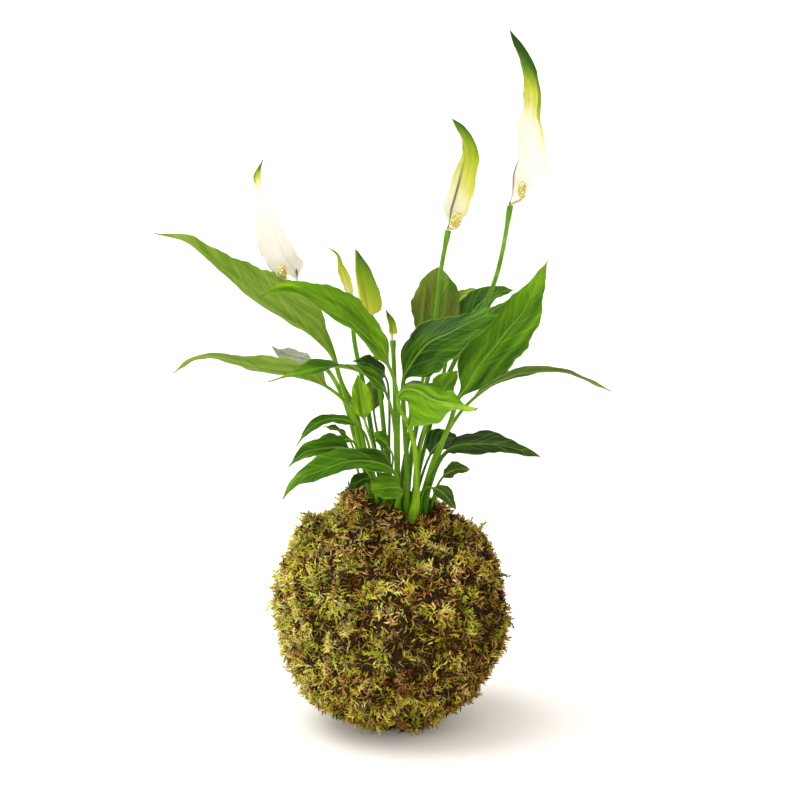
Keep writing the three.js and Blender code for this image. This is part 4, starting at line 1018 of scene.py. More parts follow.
def spathe_finish(
        name, white_to, green_from, side_green, midline, through, line=STRAIGHT_MIDLINE, spot=None):
    """A spathe that is white up to one share of its length and green from another."""
    f = Finish(name, roughness=0.45, IOR=1.4, Specular_IOR_Level=0.35)
    v, s, _ = f.marks("lay")
    across, along, seed = f.marks("span")
    streak = f.noise_along(4.0, (across, 0.9), (along, 0.05), seed)
    cloud = f.noise_along(2.0, (across, 0.12), (along, 0.07), seed)
    climb = f.sway(f.sway(s, streak, 0.36), cloud, 0.2)
    green = f.span(f.plus(climb, f.times(v, side_green)), white_to, green_from)
    colour = f.ramp(green, [
        (0.0, (252, 250, 246)), (0.2, (244, 241, 206)), (0.42, (224, 226, 88)), (0.66, (164, 192, 34)),
        (0.85, (84, 136, 18)), (1.0, (42, 86, 12)),
    ])
    vein = f.mix(green, tint(232, 226, 204), tint(206, 210, 90))
    colour = f.mix(f.times(f.span(streak, 0.55, 0.72), 0.2), colour, vein)
    colour = with_midline(f, colour, across, along, s, midline, line)
    if spot:
        colour = with_withered_spot(f, colour, across, along, spot)
    normal = f.dress(colour, streak, rough=(0.2, 0.38), bump=(0.35, 0.00025))
    f.glow_through(f.mix(0.2, colour, tint(252, 250, 224)), through, normal)
    return f.material


def faded_finish(name):
    f = Finish(name, roughness=0.7)
    across, along, seed = f.marks("span")
    streak = f.noise_along(5.0, (across, 1.1), (along, 0.12), seed)
    colour = f.ramp(streak, [
        (0.3, (118, 130, 96)), (0.48, (182, 188, 166)), (0.62, (214, 216, 204)), (0.8, (142, 154, 112))])
    normal = f.dress(colour, streak, rough=(0.2, 0.6), bump=(0.6, 0.0004))
    f.glow_through(colour, 0.25, normal)
    return f.material


print("a withered spot is", 2 * SPOT_HALF_WIDTH, "by", 2 * SPOT_HALF_HEIGHT, "mm")

# %% Measures of the spathes
SPATHE_START, SPATHE_SHIFT = 0.35, 1.05
SPATHE_DEFAULTS = {**LEAF_DEFAULTS, "stalk": 0.8, "fold": 4, "columns": 25, "sheath": 0.0}
SPATHES = {
    "spathe_1": dict(
        stem="flower_1", slot="spathe_white", columns=33, width=24, roll=95, early=0.5, point=1.1,
        points=[(-56, 34, 260), (-60, 32, 266), (-65, 30, 278), (-70, 28, 292), (-73, 28, 303),
          (-75, 28, 312), (-72, 28, 322)],
        facing=[(-0.35, -0.85, 0.2), (-0.5, -0.8, 0.1), (-0.6, -0.7, 0.2)],
        look=dict(name="spathe_white_first", white_to=0.74, green_from=1.0, side_green=0.0, midline=0.08,
                  through=0.42, spot=(2.4, 7.2))),
    "spathe_2": dict(
        stem="flower_2", slot="spathe_green", columns=33, width=19, roll=150, early=0.5, point=0.7,
        points=[(34, 9, 295), (37, 9, 303), (40, 10, 311), (43, 10, 320), (45, 11, 327), (43, 12, 336),
          (39, 12, 342), (34, 12, 347)],
        facing=[(0.3, -0.93, 0), (-0.1, -0.97, 0.1), (-0.5, -0.8, 0.2)],
        look=dict(name="spathe_green_second", white_to=-0.1, green_from=1.22, side_green=0.16,
                  midline=0.85, through=0.38, line=(-0.085, 0.3, 0.6))),
    "spathe_3": dict(
        stem="flower_3", slot="spathe_white", columns=33, width=22, roll=150, early=0.52, point=0.7,
        points=[(70, 20, 307), (74, 20, 315), (78, 21, 323), (81, 22, 337), (82, 22, 350), (81, 22, 363),
          (76, 21, 379), (66, 20, 395)],
        facing=[(0.3, -0.93, 0), (0.1, -0.95, 0), (-0.8, -0.55, 0), (-0.5, -0.85, 0), (-0.6, -0.7, 0.2)],
        look=dict(name="spathe_white_third", white_to=0.26, green_from=0.92, side_green=0.14,
                  midline=0.85, through=0.38, line=(-0.36, 0.16, 0.26))),
    "bud_spathe_1": dict(
        stem="bud_1", slot="spathe_green", width=8, roll=150, early=0.5, point=1.4,
        points=[(-24, 19, 253), (-27, 18, 262), (-30, 16, 270), (-38, 14, 276)],
        facing=[(-0.3, -0.9, 0.2), (-0.5, -0.6, 0.6)],
        look=dict(name="bud_pale_green", white_to=-0.7, green_from=1.7, side_green=0.1, midline=0.2,
                  through=0.5)),
    "bud_spathe_2": dict(
        stem="bud_2", slot="leaf_green", width=19, roll=160, early=0.6, point=0.7,
        points=[(-14, 16, 242), (-17, 16, 256), (-20, 16, 273)],
        facing=[(0.5, -0.85, 0), (0.6, -0.8, 0)],
        look=dict(name="bud_yellow_green", white_to=-1.1, green_from=1.75, side_green=0.3, midline=0.3,
                  through=0.5)),
    "bud_spathe_3": dict(
        stem="bud_3", slot="leaf_green", width=8, roll=200, early=0.6, point=0.9,
        points=[(0, 10, 231), (-3, 10, 240)],
        facing=[(0.3, -0.9, 0.2)],
        look=dict(name="bud_small_green", white_to=-1.0, green_from=1.4, side_green=0.1, midline=0.3,
                  through=0.45)),
    "faded_spathe": dict(
        stem="faded_flower", slot="leaf_grey", width=11, roll=60, early=0.7, point=0.8,
        points=[(-50, 38, 204), (-57, 39, 206), (-64, 40, 208), (-69, 41, 212)],
        facing=[(0.1, -0.6, 0.8), (0, -0.5, 0.87)],
        look=dict(name="spathe_faded_paper")),
}
print(len(SPATHES), "spathes,", sum(name.startswith("bud") for name in SPATHES), "of them buds")

# %% The spathes
for number, (name, given) in enumerate(SPATHES.items()):
    leaf = {**SPATHE_DEFAULTS, "seed": 50 + number * 5.3, **given}
    finish = faded_finish if name == "faded_spathe" else spathe_finish
    end, along = STALK_ENDS[leaf["stem"]]
    back = -np.array(leaf["facing"][0], float)
    back = unit(back - along * back.dot(along))
    foot = end + along * SPATHE_START + back * SPATHE_SHIFT
    spine = Spine([foot, foot + along * 2, *leaf["points"]])
    piece = loft(name + "_sail", leaf, spine, 1, 0, finish(**leaf["look"]))
    stands_for(piece, name)
    print(name, "is", round(float(spine.length)), "mm long with", len(piece.data.polygons), "faces")

# %% [markdown]
# ## Spadices
# In front of each sail stands a spadix, a club studded with tiny florets in crossing spirals. Sunflower
# heads and pine cones follow the same rule: each floret is turned from the last by the golden angle.
# Geometry Nodes places them by that rule on the club, from their number alone.

# %% Floret
GOLDEN_ANGLE = math.radians(137.508)
CLUB_TAPER = (0.12, 0.93)
CLUB_BLUNT = 0.6
FLORET_WIDTH, FLORET_HEIGHT, FLORET_SIDES = 0.62, 0.5, 8
FLORET_LOBES, FLORET_LOBED_BY = 4, 0.1


def floret_mesh(name):
    """A four-lobed knob, blunt on top, with a small point in the middle."""
    rings = [(0.0, 1.0), (0.55, 1.02), (0.9, 0.72)]
    places = []
    for rise, wide in rings:
        for k in range(FLORET_SIDES):
            a = 2 * math.pi * k / FLORET_SIDES
            r = FLORET_WIDTH * wide * (1 + FLORET_LOBED_BY * math.cos(FLORET_LOBES * a))
            places.append((r * math.cos(a), r * math.sin(a), FLORET_HEIGHT * rise))
    places += [(0, 0, -0.3), (0, 0, FLORET_HEIGHT * 0.86)]
    faces = ring_faces(len(rings), FLORET_SIDES)
    top = (len(rings) - 1) * FLORET_SIDES
    for k in range(FLORET_SIDES):
        n = (k + 1) % FLORET_SIDES
        faces.append((len(places) - 2, n, k))
        faces.append((top + k, top + n, len(places) - 1))
    return lay_mesh(name, places, faces)


floret = floret_mesh("floret")
print("a floret has", len(floret.data.polygons), "faces")

# %% Spiral of florets
spiral = Grower("floret_spiral", {
    "Floret": "Object", "Count": "Int", "Length": "Float", "Radius": "Float", "Seed": "Int",
    "Finish": "Material",
})
FLORET_SIZES = (0.85, 1.15)
FLORET_TONE_SEED = 7
FLORET_TIP_UP = -1.4


def build_spiral(g):
    points = g.add("GeometryNodePoints", {"Count": g.given["Count"]}).outputs[0]
    index = g.add("GeometryNodeInputIndex").outputs[0]
    share = g.math("DIVIDE", g.plus(index, 0.5), g.given["Count"])
    angle = g.times(index, GOLDEN_ANGLE)
    east, north = g.math("COSINE", angle), g.math("SINE", angle)
    down = g.math("COSINE", g.times(share, math.pi))
    taper = g.math("MULTIPLY_ADD", share, CLUB_TAPER[1] - CLUB_TAPER[0], CLUB_TAPER[0])
    body = g.math("POWER", g.math("SINE", g.times(taper, math.pi)), CLUB_BLUNT)
    radius = g.times(body, g.given["Radius"])
    rise = g.times(g.math("MULTIPLY_ADD", down, -0.5, 0.5), g.given["Length"])
    place = g.vector(g.times(radius, east), g.times(radius, north), rise)
    placed = g.add("GeometryNodeSetPosition", {"Geometry": points, "Position": place}).outputs[0]
    outward = g.vector(east, north, g.times(down, FLORET_TIP_UP))
    turn = g.add("FunctionNodeAlignRotationToVector", {"Vector": outward}, axis="Z").outputs[0]
    knob = g.add("GeometryNodeObjectInfo", {"Object": g.given["Floret"], "As Instance": True})
    florets = g.add("GeometryNodeInstanceOnPoints", {
        "Points": placed, "Instance": knob.outputs["Geometry"], "Rotation": turn,
        "Scale": g.chance(*FLORET_SIZES, g.given["Seed"])})
    both = g.add("GeometryNodeJoinGeometry")
    g.put(both.inputs[0], g.toned(florets.outputs[0], FLORET_TONE_SEED))
    g.put(both.inputs[0], g.given["Geometry"])
    g.end(both.outputs[0])


build_spiral(spiral)
print("spiral tree has", len(spiral.tree.nodes), "nodes")

# %% Rings of a spadix
CLUB_SIDES, CLUB_RINGS = 24, 18
FLORET_SINK = 0.45
STIPE_RADIUS, STIPE_BEND, STIPE_RINGS = 0.8, 3, 8


def ring_across(at, along, radius):
    """A ring of points across a direction."""
    side = unit(np.cross(along, [0, 1, 0]))
    over = np.cross(side, along)
    a = np.linspace(0, 2 * np.pi, CLUB_SIDES, endpoint=False)[:, None]
    return at + radius * (np.cos(a) * side + np.sin(a) * over)


def stipe_rings(foot, along, start, aim):
    """Rings along a short bent stipe, a cubic curve from the stalk to the foot of the club."""
    corners = np.array([foot, foot + along * STIPE_BEND, start - aim * STIPE_BEND, start])
    rings = []
    for t in np.linspace(0, 1, STIPE_RINGS + 1)[:-1]:
        at = corners.T @ [(1 - t) ** 3, 3 * t * (1 - t) ** 2, 3 * t * t * (1 - t), t**3]
        slope = np.diff(corners, axis=0).T @ [(1 - t) ** 2, 2 * t * (1 - t), t * t]
        rings.append(ring_across(at, unit(slope), STIPE_RADIUS))
    return rings


def club_rings(start, aim, length, core):
    rings = []
    for t in np.linspace(0, 1, CLUB_RINGS):
        body = math.sin(math.pi * (CLUB_TAPER[0] + (CLUB_TAPER[1] - CLUB_TAPER[0]) * t)) ** CLUB_BLUNT
        at = start + aim * length * (0.5 - 0.5 * math.cos(math.pi * t))
        rings.append(ring_across(at, aim, core * body))
    return rings


print("a spadix has", STIPE_RINGS, "rings on its stipe and", CLUB_RINGS, "on its club")

# %% The spadices
CORE_TONE = 0.1
SPADICES = {
    "spadix_1": dict(stem="flower_1", foot=(-61.5, 25, 253), aim=(-0.05, -0.2, 1), length=9.5,
                     radius=2.9, florets=62),
    "spadix_2": dict(stem="flower_2", foot=(35, 2, 288), aim=(0.35, -0.2, 0.9), length=8,
                     radius=3.1, florets=60),
    "spadix_3": dict(stem="flower_3", foot=(73, 13, 303), aim=(0, -0.1, 1), length=8.5,
                     radius=2.4, florets=54),
}


def spadix_finish():
    f = Finish("spadix_cream", roughness=0.62)
    grain = f.noise(900, 3.0)
    colour = f.ramp(f.sway(f.mark("tone"), grain, 0.8), [
        (0.0, (178, 164, 74)), (0.4, (224, 212, 122)), (0.75, (240, 234, 170)), (1.0, (250, 247, 216))])
    f.dress(colour, grain, rough=(0.2, 0.52), bump=(0.5, 0.0002))
    return f.material


SPADIX_CREAM = spadix_finish()
for name, club in SPADICES.items():
    end, along = STALK_ENDS[club["stem"]]
    aim, start = unit(club["aim"]), np.array(club["foot"], float)
    front = unit(start - end - along * along.dot(start - end))
    foot = end + along * SPATHE_START + front * SPATHE_SHIFT
    core = club["radius"] - FLORET_SINK
    rings = stipe_rings(foot, along, start, aim) + club_rings(start, aim, club["length"], core)
    faces = ring_faces(len(rings), CLUB_SIDES)
    faces.append(tuple(range(CLUB_SIDES))[::-1])
    faces.append(tuple((len(rings) - 1) * CLUB_SIDES + k for k in range(CLUB_SIDES)))
    turn = Vector(aim).to_track_quat("Z", "Y").to_matrix()
    places = (np.vstack(rings) - start) @ np.array(turn)
    source = lay_mesh(name + "_source", places, faces, {"tone": np.full(len(places), CORE_TONE)})
    piece = spiral.grow(source, name + "_club", **{
        "Floret": floret, "Count": club["florets"], "Length": club["length"] * MM,
        "Radius": core * MM, "Seed": 3, "Finish": SPADIX_CREAM})
    piece.data.transform(Matrix.Translation(Vector(start * MM)) @ turn.to_4x4())
    discard(source)
    stands_for(piece, name)
    print(name, "has", club["florets"], "florets,", len(piece.data.polygons), "faces")
discard(floret)

# %% [markdown]
# ## The ball's shape
# The moss cover is a shell round a ball of soil. Its surface is a sphere with hollows and tufts. It stays
# low where the thread runs, and rises to a shoulder round the stems, at the rim of the opening and at a
# mound left of the stems. The same formulas as in the CAD model shape it here, on a finer net.

# %% Measures of the ball
BALL_CENTRE_Z = 62
SOIL_RADIUS = 56
FIT_GAP = 0.3
MOSS_RADIUS = 62.7
HOLLOW_DEPTH = 1.3
TUFT_HEIGHT, TUFT_CLEAR_OF_THREAD, TUFT_FULL_AT = 3.2, 7, 13
LIP = dict(rise=7.5, width=9, clear=3, full=9)
NOTCH = dict(x=11.5, y=-20, width=8)
SHOULDER = dict(rise=6, at=42, spread=28)
OPENING = dict(x=6, y=1.3, radius=22, wave=0.9, lobes=7)
MOUND = dict(x=-28, y=4, rise=9, spread=17, clear=4, full=11)
THREAD_RADIUS = 0.55
THREAD_RING_RADIUS = MOSS_RADIUS + FIT_GAP + THREAD_RADIUS
WINDINGS = ((62, 15, 1), (60, 60, -2), (57, 100, 2), (34, 150, -1), (59, 185, 0), (62, 232, -2))
print(len(WINDINGS), "turns of thread, on rings of", THREAD_RING_RADIUS, "mm")

# %% Ball formulas
def winding_axis(tilt, turn):
    tilt, turn = math.radians(tilt), math.radians(turn)
    return np.array([math.sin(tilt) * math.cos(turn), math.sin(tilt) * math.sin(turn), math.cos(tilt)])


def thread_distance(directions):
    nearest = np.full(len(directions), np.inf)
    for tilt, turn, offset in WINDINGS:
        off = math.asin(offset / THREAD_RING_RADIUS)
        angle = np.arcsin(np.clip(directions @ winding_axis(tilt, turn), -1, 1)) - off
        nearest = np.minimum(nearest, np.abs(angle) * THREAD_RING_RADIUS)
    return nearest


def moss_level(p):
    x, y, z = p.T
    slow = np.sin(0.31 * x + 0.23 * y + 1.3) * np.sin(0.29 * z - 0.17 * x + 0.4)
    quick = np.sin(0.53 * y - 0.21 * z + 2.1) * np.sin(0.47 * x + 0.33 * z + 0.9)
    return 0.5 + 0.3 * slow + 0.2 * quick


def edge_distance(x, y):
    """How far outside the opening's wavy edge a place lies; inside it the distance is negative."""
    dx, dy = x - OPENING["x"], y - OPENING["y"]
    radius = OPENING["radius"] + OPENING["wave"] * np.sin(OPENING["lobes"] * np.arctan2(dy, dx))
    return np.hypot(dx, dy) - radius


def shoulder_of(directions):
    angle = np.degrees(np.arcsin(np.clip(directions[:, 2], -1, 1)))
    return SHOULDER["rise"] * np.exp(-(((angle - SHOULDER["at"]) / SHOULDER["spread"]) ** 2))


def moss_radius(directions):
    p = directions * MOSS_RADIUS
    level, apart = moss_level(p), thread_distance(directions)
    free = smooth(TUFT_CLEAR_OF_THREAD, TUFT_FULL_AT, apart)
    radius = MOSS_RADIUS - HOLLOW_DEPTH * (1 - level) + TUFT_HEIGHT * free * (0.35 + 0.65 * level)
    radius = radius + shoulder_of(directions)
    edge = np.hypot(p[:, 0] - OPENING["x"], p[:, 1] - OPENING["y"]) - OPENING["radius"]
    notch = np.exp(-((np.hypot(p[:, 0] - NOTCH["x"], p[:, 1] - NOTCH["y"]) / NOTCH["width"]) ** 2))
    lip = LIP["rise"] * (1 - notch) * np.exp(-((edge / LIP["width"]) ** 2))
    lip = lip * smooth(LIP["clear"], LIP["full"], apart)
    mound = np.hypot(p[:, 0] - MOUND["x"], p[:, 1] - MOUND["y"])
    high = MOUND["rise"] * smooth(MOUND["clear"], MOUND["full"], apart)
    high = high * np.exp(-((mound / MOUND["spread"]) ** 2))
    return radius + np.where(p[:, 2] > 0, lip + high, 0)


straight_up = np.array([[0.0, 0.0, 1.0]])
print("the shoulder rises", round(float(shoulder_of(straight_up)[0]), 1), "mm on top of the ball")

# %% Nets and noise
def ball_net(fineness):
    """Directions and triangles of a ball cut from an icosahedron."""
    net = bmesh.new()
    bmesh.ops.create_icosphere(net, subdivisions=fineness, radius=1)
    directions = unit(np.array([v.co[:] for v in net.verts]))
    triangles = np.array([[v.index for v in f.verts] for f in net.faces])
    net.free()
    return directions, triangles


def rough_noise(places, scale, seed):
    """Smooth noise from -1 to 1 for each place."""
    offset = Vector((seed * 17.3, seed * 5.1, seed * 9.7))
    return np.array([noise.noise(Vector(p) * scale + offset) for p in places])


print("a net of fineness 2 has", len(ball_net(2)[1]), "triangles")

# %% [markdown]
# ## Soil
# Under the moss lies a ball of dark potting soil, seen only between the stems. A smooth ball would look
# like a bead, so noise breaks its surface. Moss litter is strewn over its top further down.

# %% Soil ball
SOIL_FINENESS = 5
LUMPS_LOWER_BY = 0.9


def soil_finish():
    f = Finish("soil_dark", roughness=0.9, Specular_IOR_Level=0.15)
    grain = f.noise(520, 6.0, roughness=0.7)
    colour = f.ramp(grain, [
        (0.3, (30, 19, 12)), (0.5, (58, 38, 24)), (0.66, (92, 62, 38)), (0.85, (140, 104, 66))])
    colour = f.mix(f.span(f.noise(60, 3.0), 0.45, 0.65, 0.0, 0.5), colour, tint(72, 60, 28))
    f.dress(colour, grain, rough=(0.15, 0.82), bump=(0.9, 0.0008))
    return f.material


directions, triangles = ball_net(SOIL_FINENESS)
lumps = rough_noise(directions, 9.0, 1) * 0.5 + rough_noise(directions, 24.0, 2) * 0.35
places = directions * (SOIL_RADIUS - LUMPS_LOWER_BY + lumps)[:, None] + [0, 0, BALL_CENTRE_Z]
soil_ball = lay_mesh("soil_ball", places, triangles, material=soil_finish())
stands_for(soil_ball, "soil_core")
print("soil ball:", len(triangles), "faces")

# %% [markdown]
# ## Sprigs
# Sheet moss is a mat of branching shoots 4 to 10 mm long. Hair particles would be quick, but the export
# drops them, so each shoot is a real little mesh of ten to thirty faces. There are feathered shoots, hooks,
# small tufts, short curls and dry straws, five shapes of each. Geometry Nodes strews them over the ball.

# %% Strands and leaflets
STRAND_THICKNESS = 0.55


def strand(path, widths):
    """A three-sided strand that tapers to a point: its places, faces and marks from root to tip."""
    path = np.array(path, float)
    n = len(path) - 1
    places, marks = [], []
    for i in range(n):
        along = unit(path[i + 1] - path[max(i - 1, 0)])
        side = np.cross(along, [0.3, 1.0, 0.1])
        side = unit(side) if np.linalg.norm(side) > 1e-6 else np.array([1.0, 0, 0])
        up = np.cross(side, along)
        w = widths[i] / 2
        for a, b in ((-1, -0.4), (1, -0.4), (0, 0.8)):
            places.append(path[i] + up * w * a + side * w * b * STRAND_THICKNESS)
            marks.append(i / n)
    places.append(path[-1])
    marks.append(1.0)
    faces = [(2, 1, 0)] + ring_faces(n, 3)
    for k in range(3):
        faces.append(((n - 1) * 3 + k, (n - 1) * 3 + (k + 1) % 3, 3 * n))
    return np.array(places), faces, np.array(marks)


def joined(parts):
    places, faces, marks, base = [], [], [], 0
    for p, f, m in parts:
        places.append(p)
        marks.append(m)
        faces += [tuple(base + i for i in face) for face in f]
        base += len(p)
    return np.vstack(places), faces, np.concatenate(marks)


def bent_path(length, lean, curl, steps, sideways=0.0):
    """A path in the plane of X and Z that starts upright, leans and curls over."""
    place, angle, path = np.zeros(3), lean, [np.zeros(3)]
    for i in range(steps):
        step = length / steps
        place = place + step * np.array([math.sin(angle), sideways * (i + 1) / steps, math.cos(angle)])
        path.append(place)
        angle += curl / steps
    return path


def leaflet(at, out, width):
    """A small pointed leaf of four faces."""
    out = np.array(out, float)
    side = unit(np.cross(out, [0.2, 0.1, 1.0])) * width / 2
    lift = unit(np.cross(side, out)) * width * 0.35
    places = np.array([at - side, at + side, at + lift, at + out])
    return places, [(0, 1, 3), (1, 2, 3), (2, 0, 3), (0, 2, 1)], np.array([0.4, 0.4, 0.4, 1.0])


print("a short strand has", len(strand([(0, 0, 0), (0, 0, 1), (1, 0, 2)], [1, 1])[1]), "faces")

# %% Kinds of sprig
dice = np.random.default_rng(528)
VARIANTS = 5


def drawn_path(length, lean, curl, steps, sideways=(0.0, 0.0)):
    """A bent path whose measures are drawn from ranges."""
    length, lean, curl = dice.uniform(*length), dice.uniform(*lean), dice.uniform(*curl)
    return bent_path(length, lean, curl, steps, dice.uniform(*sideways) if any(sideways) else 0.0)


def feather():
    path = drawn_path((6.0, 8.8), (-0.2, 0.2), (0.6, 1.8), 3, (-0.4, 0.4))
    parts = [strand(path, [1.45, 1.35, 0.95])]
    for k in range(5):
        t = 3 * (0.35 + 0.13 * k)
        low = path[min(int(t), 2)]
        at = low + (path[min(int(t) + 1, 3)] - low) * (t - int(t))
        side = 1 if k % 2 else -1
        forward, sideways = 0.55 + 0.3 * dice.random(), side * (0.95 + 0.3 * dice.random())
        parts.append(leaflet(at, np.array([forward, sideways, 0.75]) * (2.1 - 0.2 * k), 1.3))
    return joined(parts)


def hook():
    path = drawn_path((6.4, 9.4), (-0.4, 0.1), (1.6, 4.0), 5, (-0.4, 0.4))
    return strand(path, [1.25, 1.4, 1.35, 1.15, 0.8])


def tuft():
    parts = []
    for k in range(3):
        path = np.array(drawn_path((4.2, 6.6), (0.1, 0.7), (0.3, 2.0), 3))
        a = 2 * math.pi * (k + dice.random()) / 3
        turn = np.array([[math.cos(a), -math.sin(a), 0], [math.sin(a), math.cos(a), 0], [0, 0, 1]])
        parts.append(strand(path @ turn.T, [1.3, 1.25, 0.9]))
    return joined(parts)


def short_curl():
    path = drawn_path((4.6, 7.2), (-0.3, 0.5), (0.8, 3.0), 3, (-0.5, 0.5))
    return strand(path, [1.25, 1.25, 0.95])


def straw():
    path = drawn_path((7.5, 11.0), (-0.2, 0.3), (-0.9, 1.2), 4, (-0.3, 0.3))
    return strand(path, [0.5, 0.5, 0.42, 0.3])


def sprig_set(name, shape):
    """A collection of several sprigs of one kind, kept out of the scene."""
    group = bpy.data.collections.new(name)
    for number in range(VARIANTS):
        places, faces, marks = shape()
        sprig = lay_mesh(f"{name}_{number}", places, faces, {"along": marks})
        bpy.context.scene.collection.objects.unlink(sprig)
        group.objects.link(sprig)
    return group


SPRIGS = {}
for kind in (feather, hook, tuft, short_curl, straw):
    SPRIGS[kind.__name__] = sprig_set(kind.__name__ + "_sprigs", kind)

# %% [markdown]
# ## Strewing
# Distribute Points on Faces drops points at random on the ball, thicker where a named value on the mesh
# is high, and each point gets a sprig. Wholly random turns look like shavings. So the way a sprig leans
# follows a slow noise, and neighbours lie alike, as if combed. About its own axis it is spun at random.

# %% Strewing tree
strewing = Grower("strew_on_surface", {
    "Sprigs": "Collection", "Density": "Float", "Weight Name": "String", "Lean Least": "Float",
    "Lean Most": "Float", "Size Least": "Float", "Size Most": "Float", "Sink": "Float", "Seed": "Int",
    "Finish": "Material",
})
FLOW_SCALE, FLOW_DETAIL, FLOW_TURN, FLOW_SPREAD = 48.0, 1.0, 22.0, 0.75
SUNK_MOST, RAISED_MOST = -1.0, 0.1


def build_strewing(g):
    given = g.given

    def draw(low, high, shift, kind="FLOAT"):
        """A random number for each sprig, with a seed of its own."""
        return g.chance(low, high, g.plus(given["Seed"], shift), kind)

    weight = g.add("GeometryNodeInputNamedAttribute", {"Name": given["Weight Name"]}, data_type="FLOAT")
    drops = g.add("GeometryNodeDistributePointsOnFaces", {
        "Mesh": given["Geometry"], "Density": g.times(weight.outputs["Attribute"], given["Density"]),
        "Seed": given["Seed"]}, distribute_method="RANDOM")
    sink = g.scaled(drops.outputs["Normal"], g.times(given["Sink"], draw(SUNK_MOST, RAISED_MOST, 11)))
    sunk = g.add("GeometryNodeSetPosition", {"Geometry": drops.outputs["Points"], "Offset": sink})
    flow = g.add("ShaderNodeTexNoise", {"Scale": FLOW_SCALE, "Detail": FLOW_DETAIL}).outputs[0]
    combed = g.vector(z=g.math("MULTIPLY_ADD", flow, FLOW_TURN, draw(-FLOW_SPREAD, FLOW_SPREAD, 17)))
    lean = g.vector(y=draw(given["Lean Least"], given["Lean Most"], 13))
    spin = g.vector(z=draw(0.0, 2 * math.pi, 12))
    turned = drops.outputs["Rotation"]
    for angles in (combed, lean, spin):
        step = g.add("FunctionNodeEulerToRotation", {0: angles}).outputs[0]
        node = g.add("FunctionNodeRotateRotation", {0: turned, 1: step}, rotation_space="LOCAL")
        turned = node.outputs[0]
    kinds = g.add("GeometryNodeCollectionInfo", {
        "Collection": given["Sprigs"], "Separate Children": True, "Reset Children": True})
    placed = g.add("GeometryNodeInstanceOnPoints", {
        "Points": sunk.outputs[0], "Instance": kinds.outputs[0], "Pick Instance": True,
        "Instance Index": draw(0, VARIANTS - 1, 14, "INT"), "Rotation": turned,
        "Scale": draw(given["Size Least"], given["Size Most"], 15)})
    g.end(g.toned(placed.outputs[0], g.plus(given["Seed"], 16)))


build_strewing(strewing)
print("strewing tree has", len(strewing.tree.nodes), "nodes")

# %% [markdown]
# ## The colours of moss
# Fresh shoots are yellow-green, older ones olive, dead ones tan and brown. The colour of a shoot comes from
# its own random value and from the patch of the ball it grows on. Over that, painted shade darkens each
# shoot towards its root and in the low places between clumps.

# %% Moss finishes
def moss_finish(name, stops, patch_colour, patch_share):
    f = Finish(name, roughness=0.8, Specular_IOR_Level=0.12)
    tone, fresh, tan = f.mark("tone"), f.mark("fresh"), f.mark("tan")
    pick = f.sway(f.math("MULTIPLY_ADD", tone, 0.6, 0.27), f.noise(85, 1.0), 1.5)
    pick = f.plus(pick, f.times(f.math("SUBTRACT", fresh, tan), 0.35))
    pick = f.sway(pick, f.noise(260, 2.0), 0.5)
    colour = f.ramp(f.math("MULTIPLY_ADD", pick, 0.8, 0.1), stops)
    colour = f.mix(f.times(f.span(f.noise(58, 2.0), 0.5, 0.64), patch_share), colour, patch_colour)
    # Painted shade: each shoot is darker towards its root, and darker still in the low places between
    # clumps.
    from_root = f.span(f.mark("along"), 0.0, 0.6, 0.2, 1.0)
    light = f.times(from_root, f.span(f.mark("high"), 0.0, 1.0, 0.52, 1.0))
    f.paint(f.mix(1.0, colour, f.vector(light, light, light), "MULTIPLY"))
    f.rough(f.span(tone, 0.0, 1.0, 0.6, 0.85))
    f.bump(f.noise(2600, 2.0), 0.3, 0.0002)
    return f.material


MOSS_FINISHES = {
    "fresh": moss_finish("moss_fresh", [
        (0.05, (122, 112, 18)), (0.35, (190, 180, 46)), (0.65, (230, 222, 80)), (0.95, (244, 236, 124)),
    ], tint(134, 178, 30), 0.6),
    "olive": moss_finish("moss_olive", [
        (0.05, (88, 70, 20)), (0.35, (158, 132, 42)), (0.65, (208, 182, 68)), (0.95, (240, 224, 120)),
    ], tint(128, 128, 36), 0.5),
    "tan": moss_finish("moss_tan", [
        (0.05, (92, 52, 20)), (0.35, (168, 108, 46)), (0.65, (228, 170, 96)), (0.95, (252, 222, 160)),
    ], tint(186, 112, 50), 0.4),
    "dark": moss_finish("moss_dark", [
        (0.05, (38, 22, 12)), (0.35, (78, 48, 24)), (0.65, (118, 78, 40)), (0.95, (168, 124, 70)),
    ], tint(84, 60, 24), 0.5),
    "straw": moss_finish("moss_straw", [
        (0.05, (166, 140, 66)), (0.5, (214, 194, 104)), (0.95, (240, 228, 152)),
    ], tint(180, 180, 70), 0.5),
}
print("moss finishes:", ", ".join(MOSS_FINISHES))

# %% [markdown]
# ## The moss bed
# Under the shoots lies the felt that they grow from: a closed shell with the opening for the stems. Its
# outer face follows the ball's formulas, with clumps added, and its inner face lies just off the soil.

# %% Moss bed
NET_FINENESS = 6
FLOOR_CLEAR = 0.25
FELT_HEIGHT = 0.4
CLUMP_HEIGHT, CLUMP_LIMIT = 2.6, 0.6
BED_LOWER_BY, HIGHER_BY_THREAD = 0.8, 0.6
BESIDE_THREAD, CLEAR_OF_THREAD = 1.5, 5
directions, triangles = ball_net(NET_FINENESS)
radius = moss_radius(directions)
felt = rough_noise(directions, 30.0, 3) * FELT_HEIGHT
clump = rough_noise(directions, 9.5, 8) + 0.45 * rough_noise(directions, 19.0, 9)
felt = felt + CLUMP_HEIGHT * np.clip(clump, -CLUMP_LIMIT, CLUMP_LIMIT)
by_thread = 1 - smooth(BESIDE_THREAD, CLEAR_OF_THREAD, thread_distance(directions))
radius = radius - BED_LOWER_BY + HIGHER_BY_THREAD * by_thread + felt
outer = directions * radius[:, None] + [0, 0, BALL_CENTRE_Z]
outer[:, 2] = np.maximum(outer[:, 2], FLOOR_CLEAR)
top = (directions[:, 2] > 0) & (edge_distance(outer[:, 0], outer[:, 1]) < 0)
in_opening = top[triangles].all(axis=1)
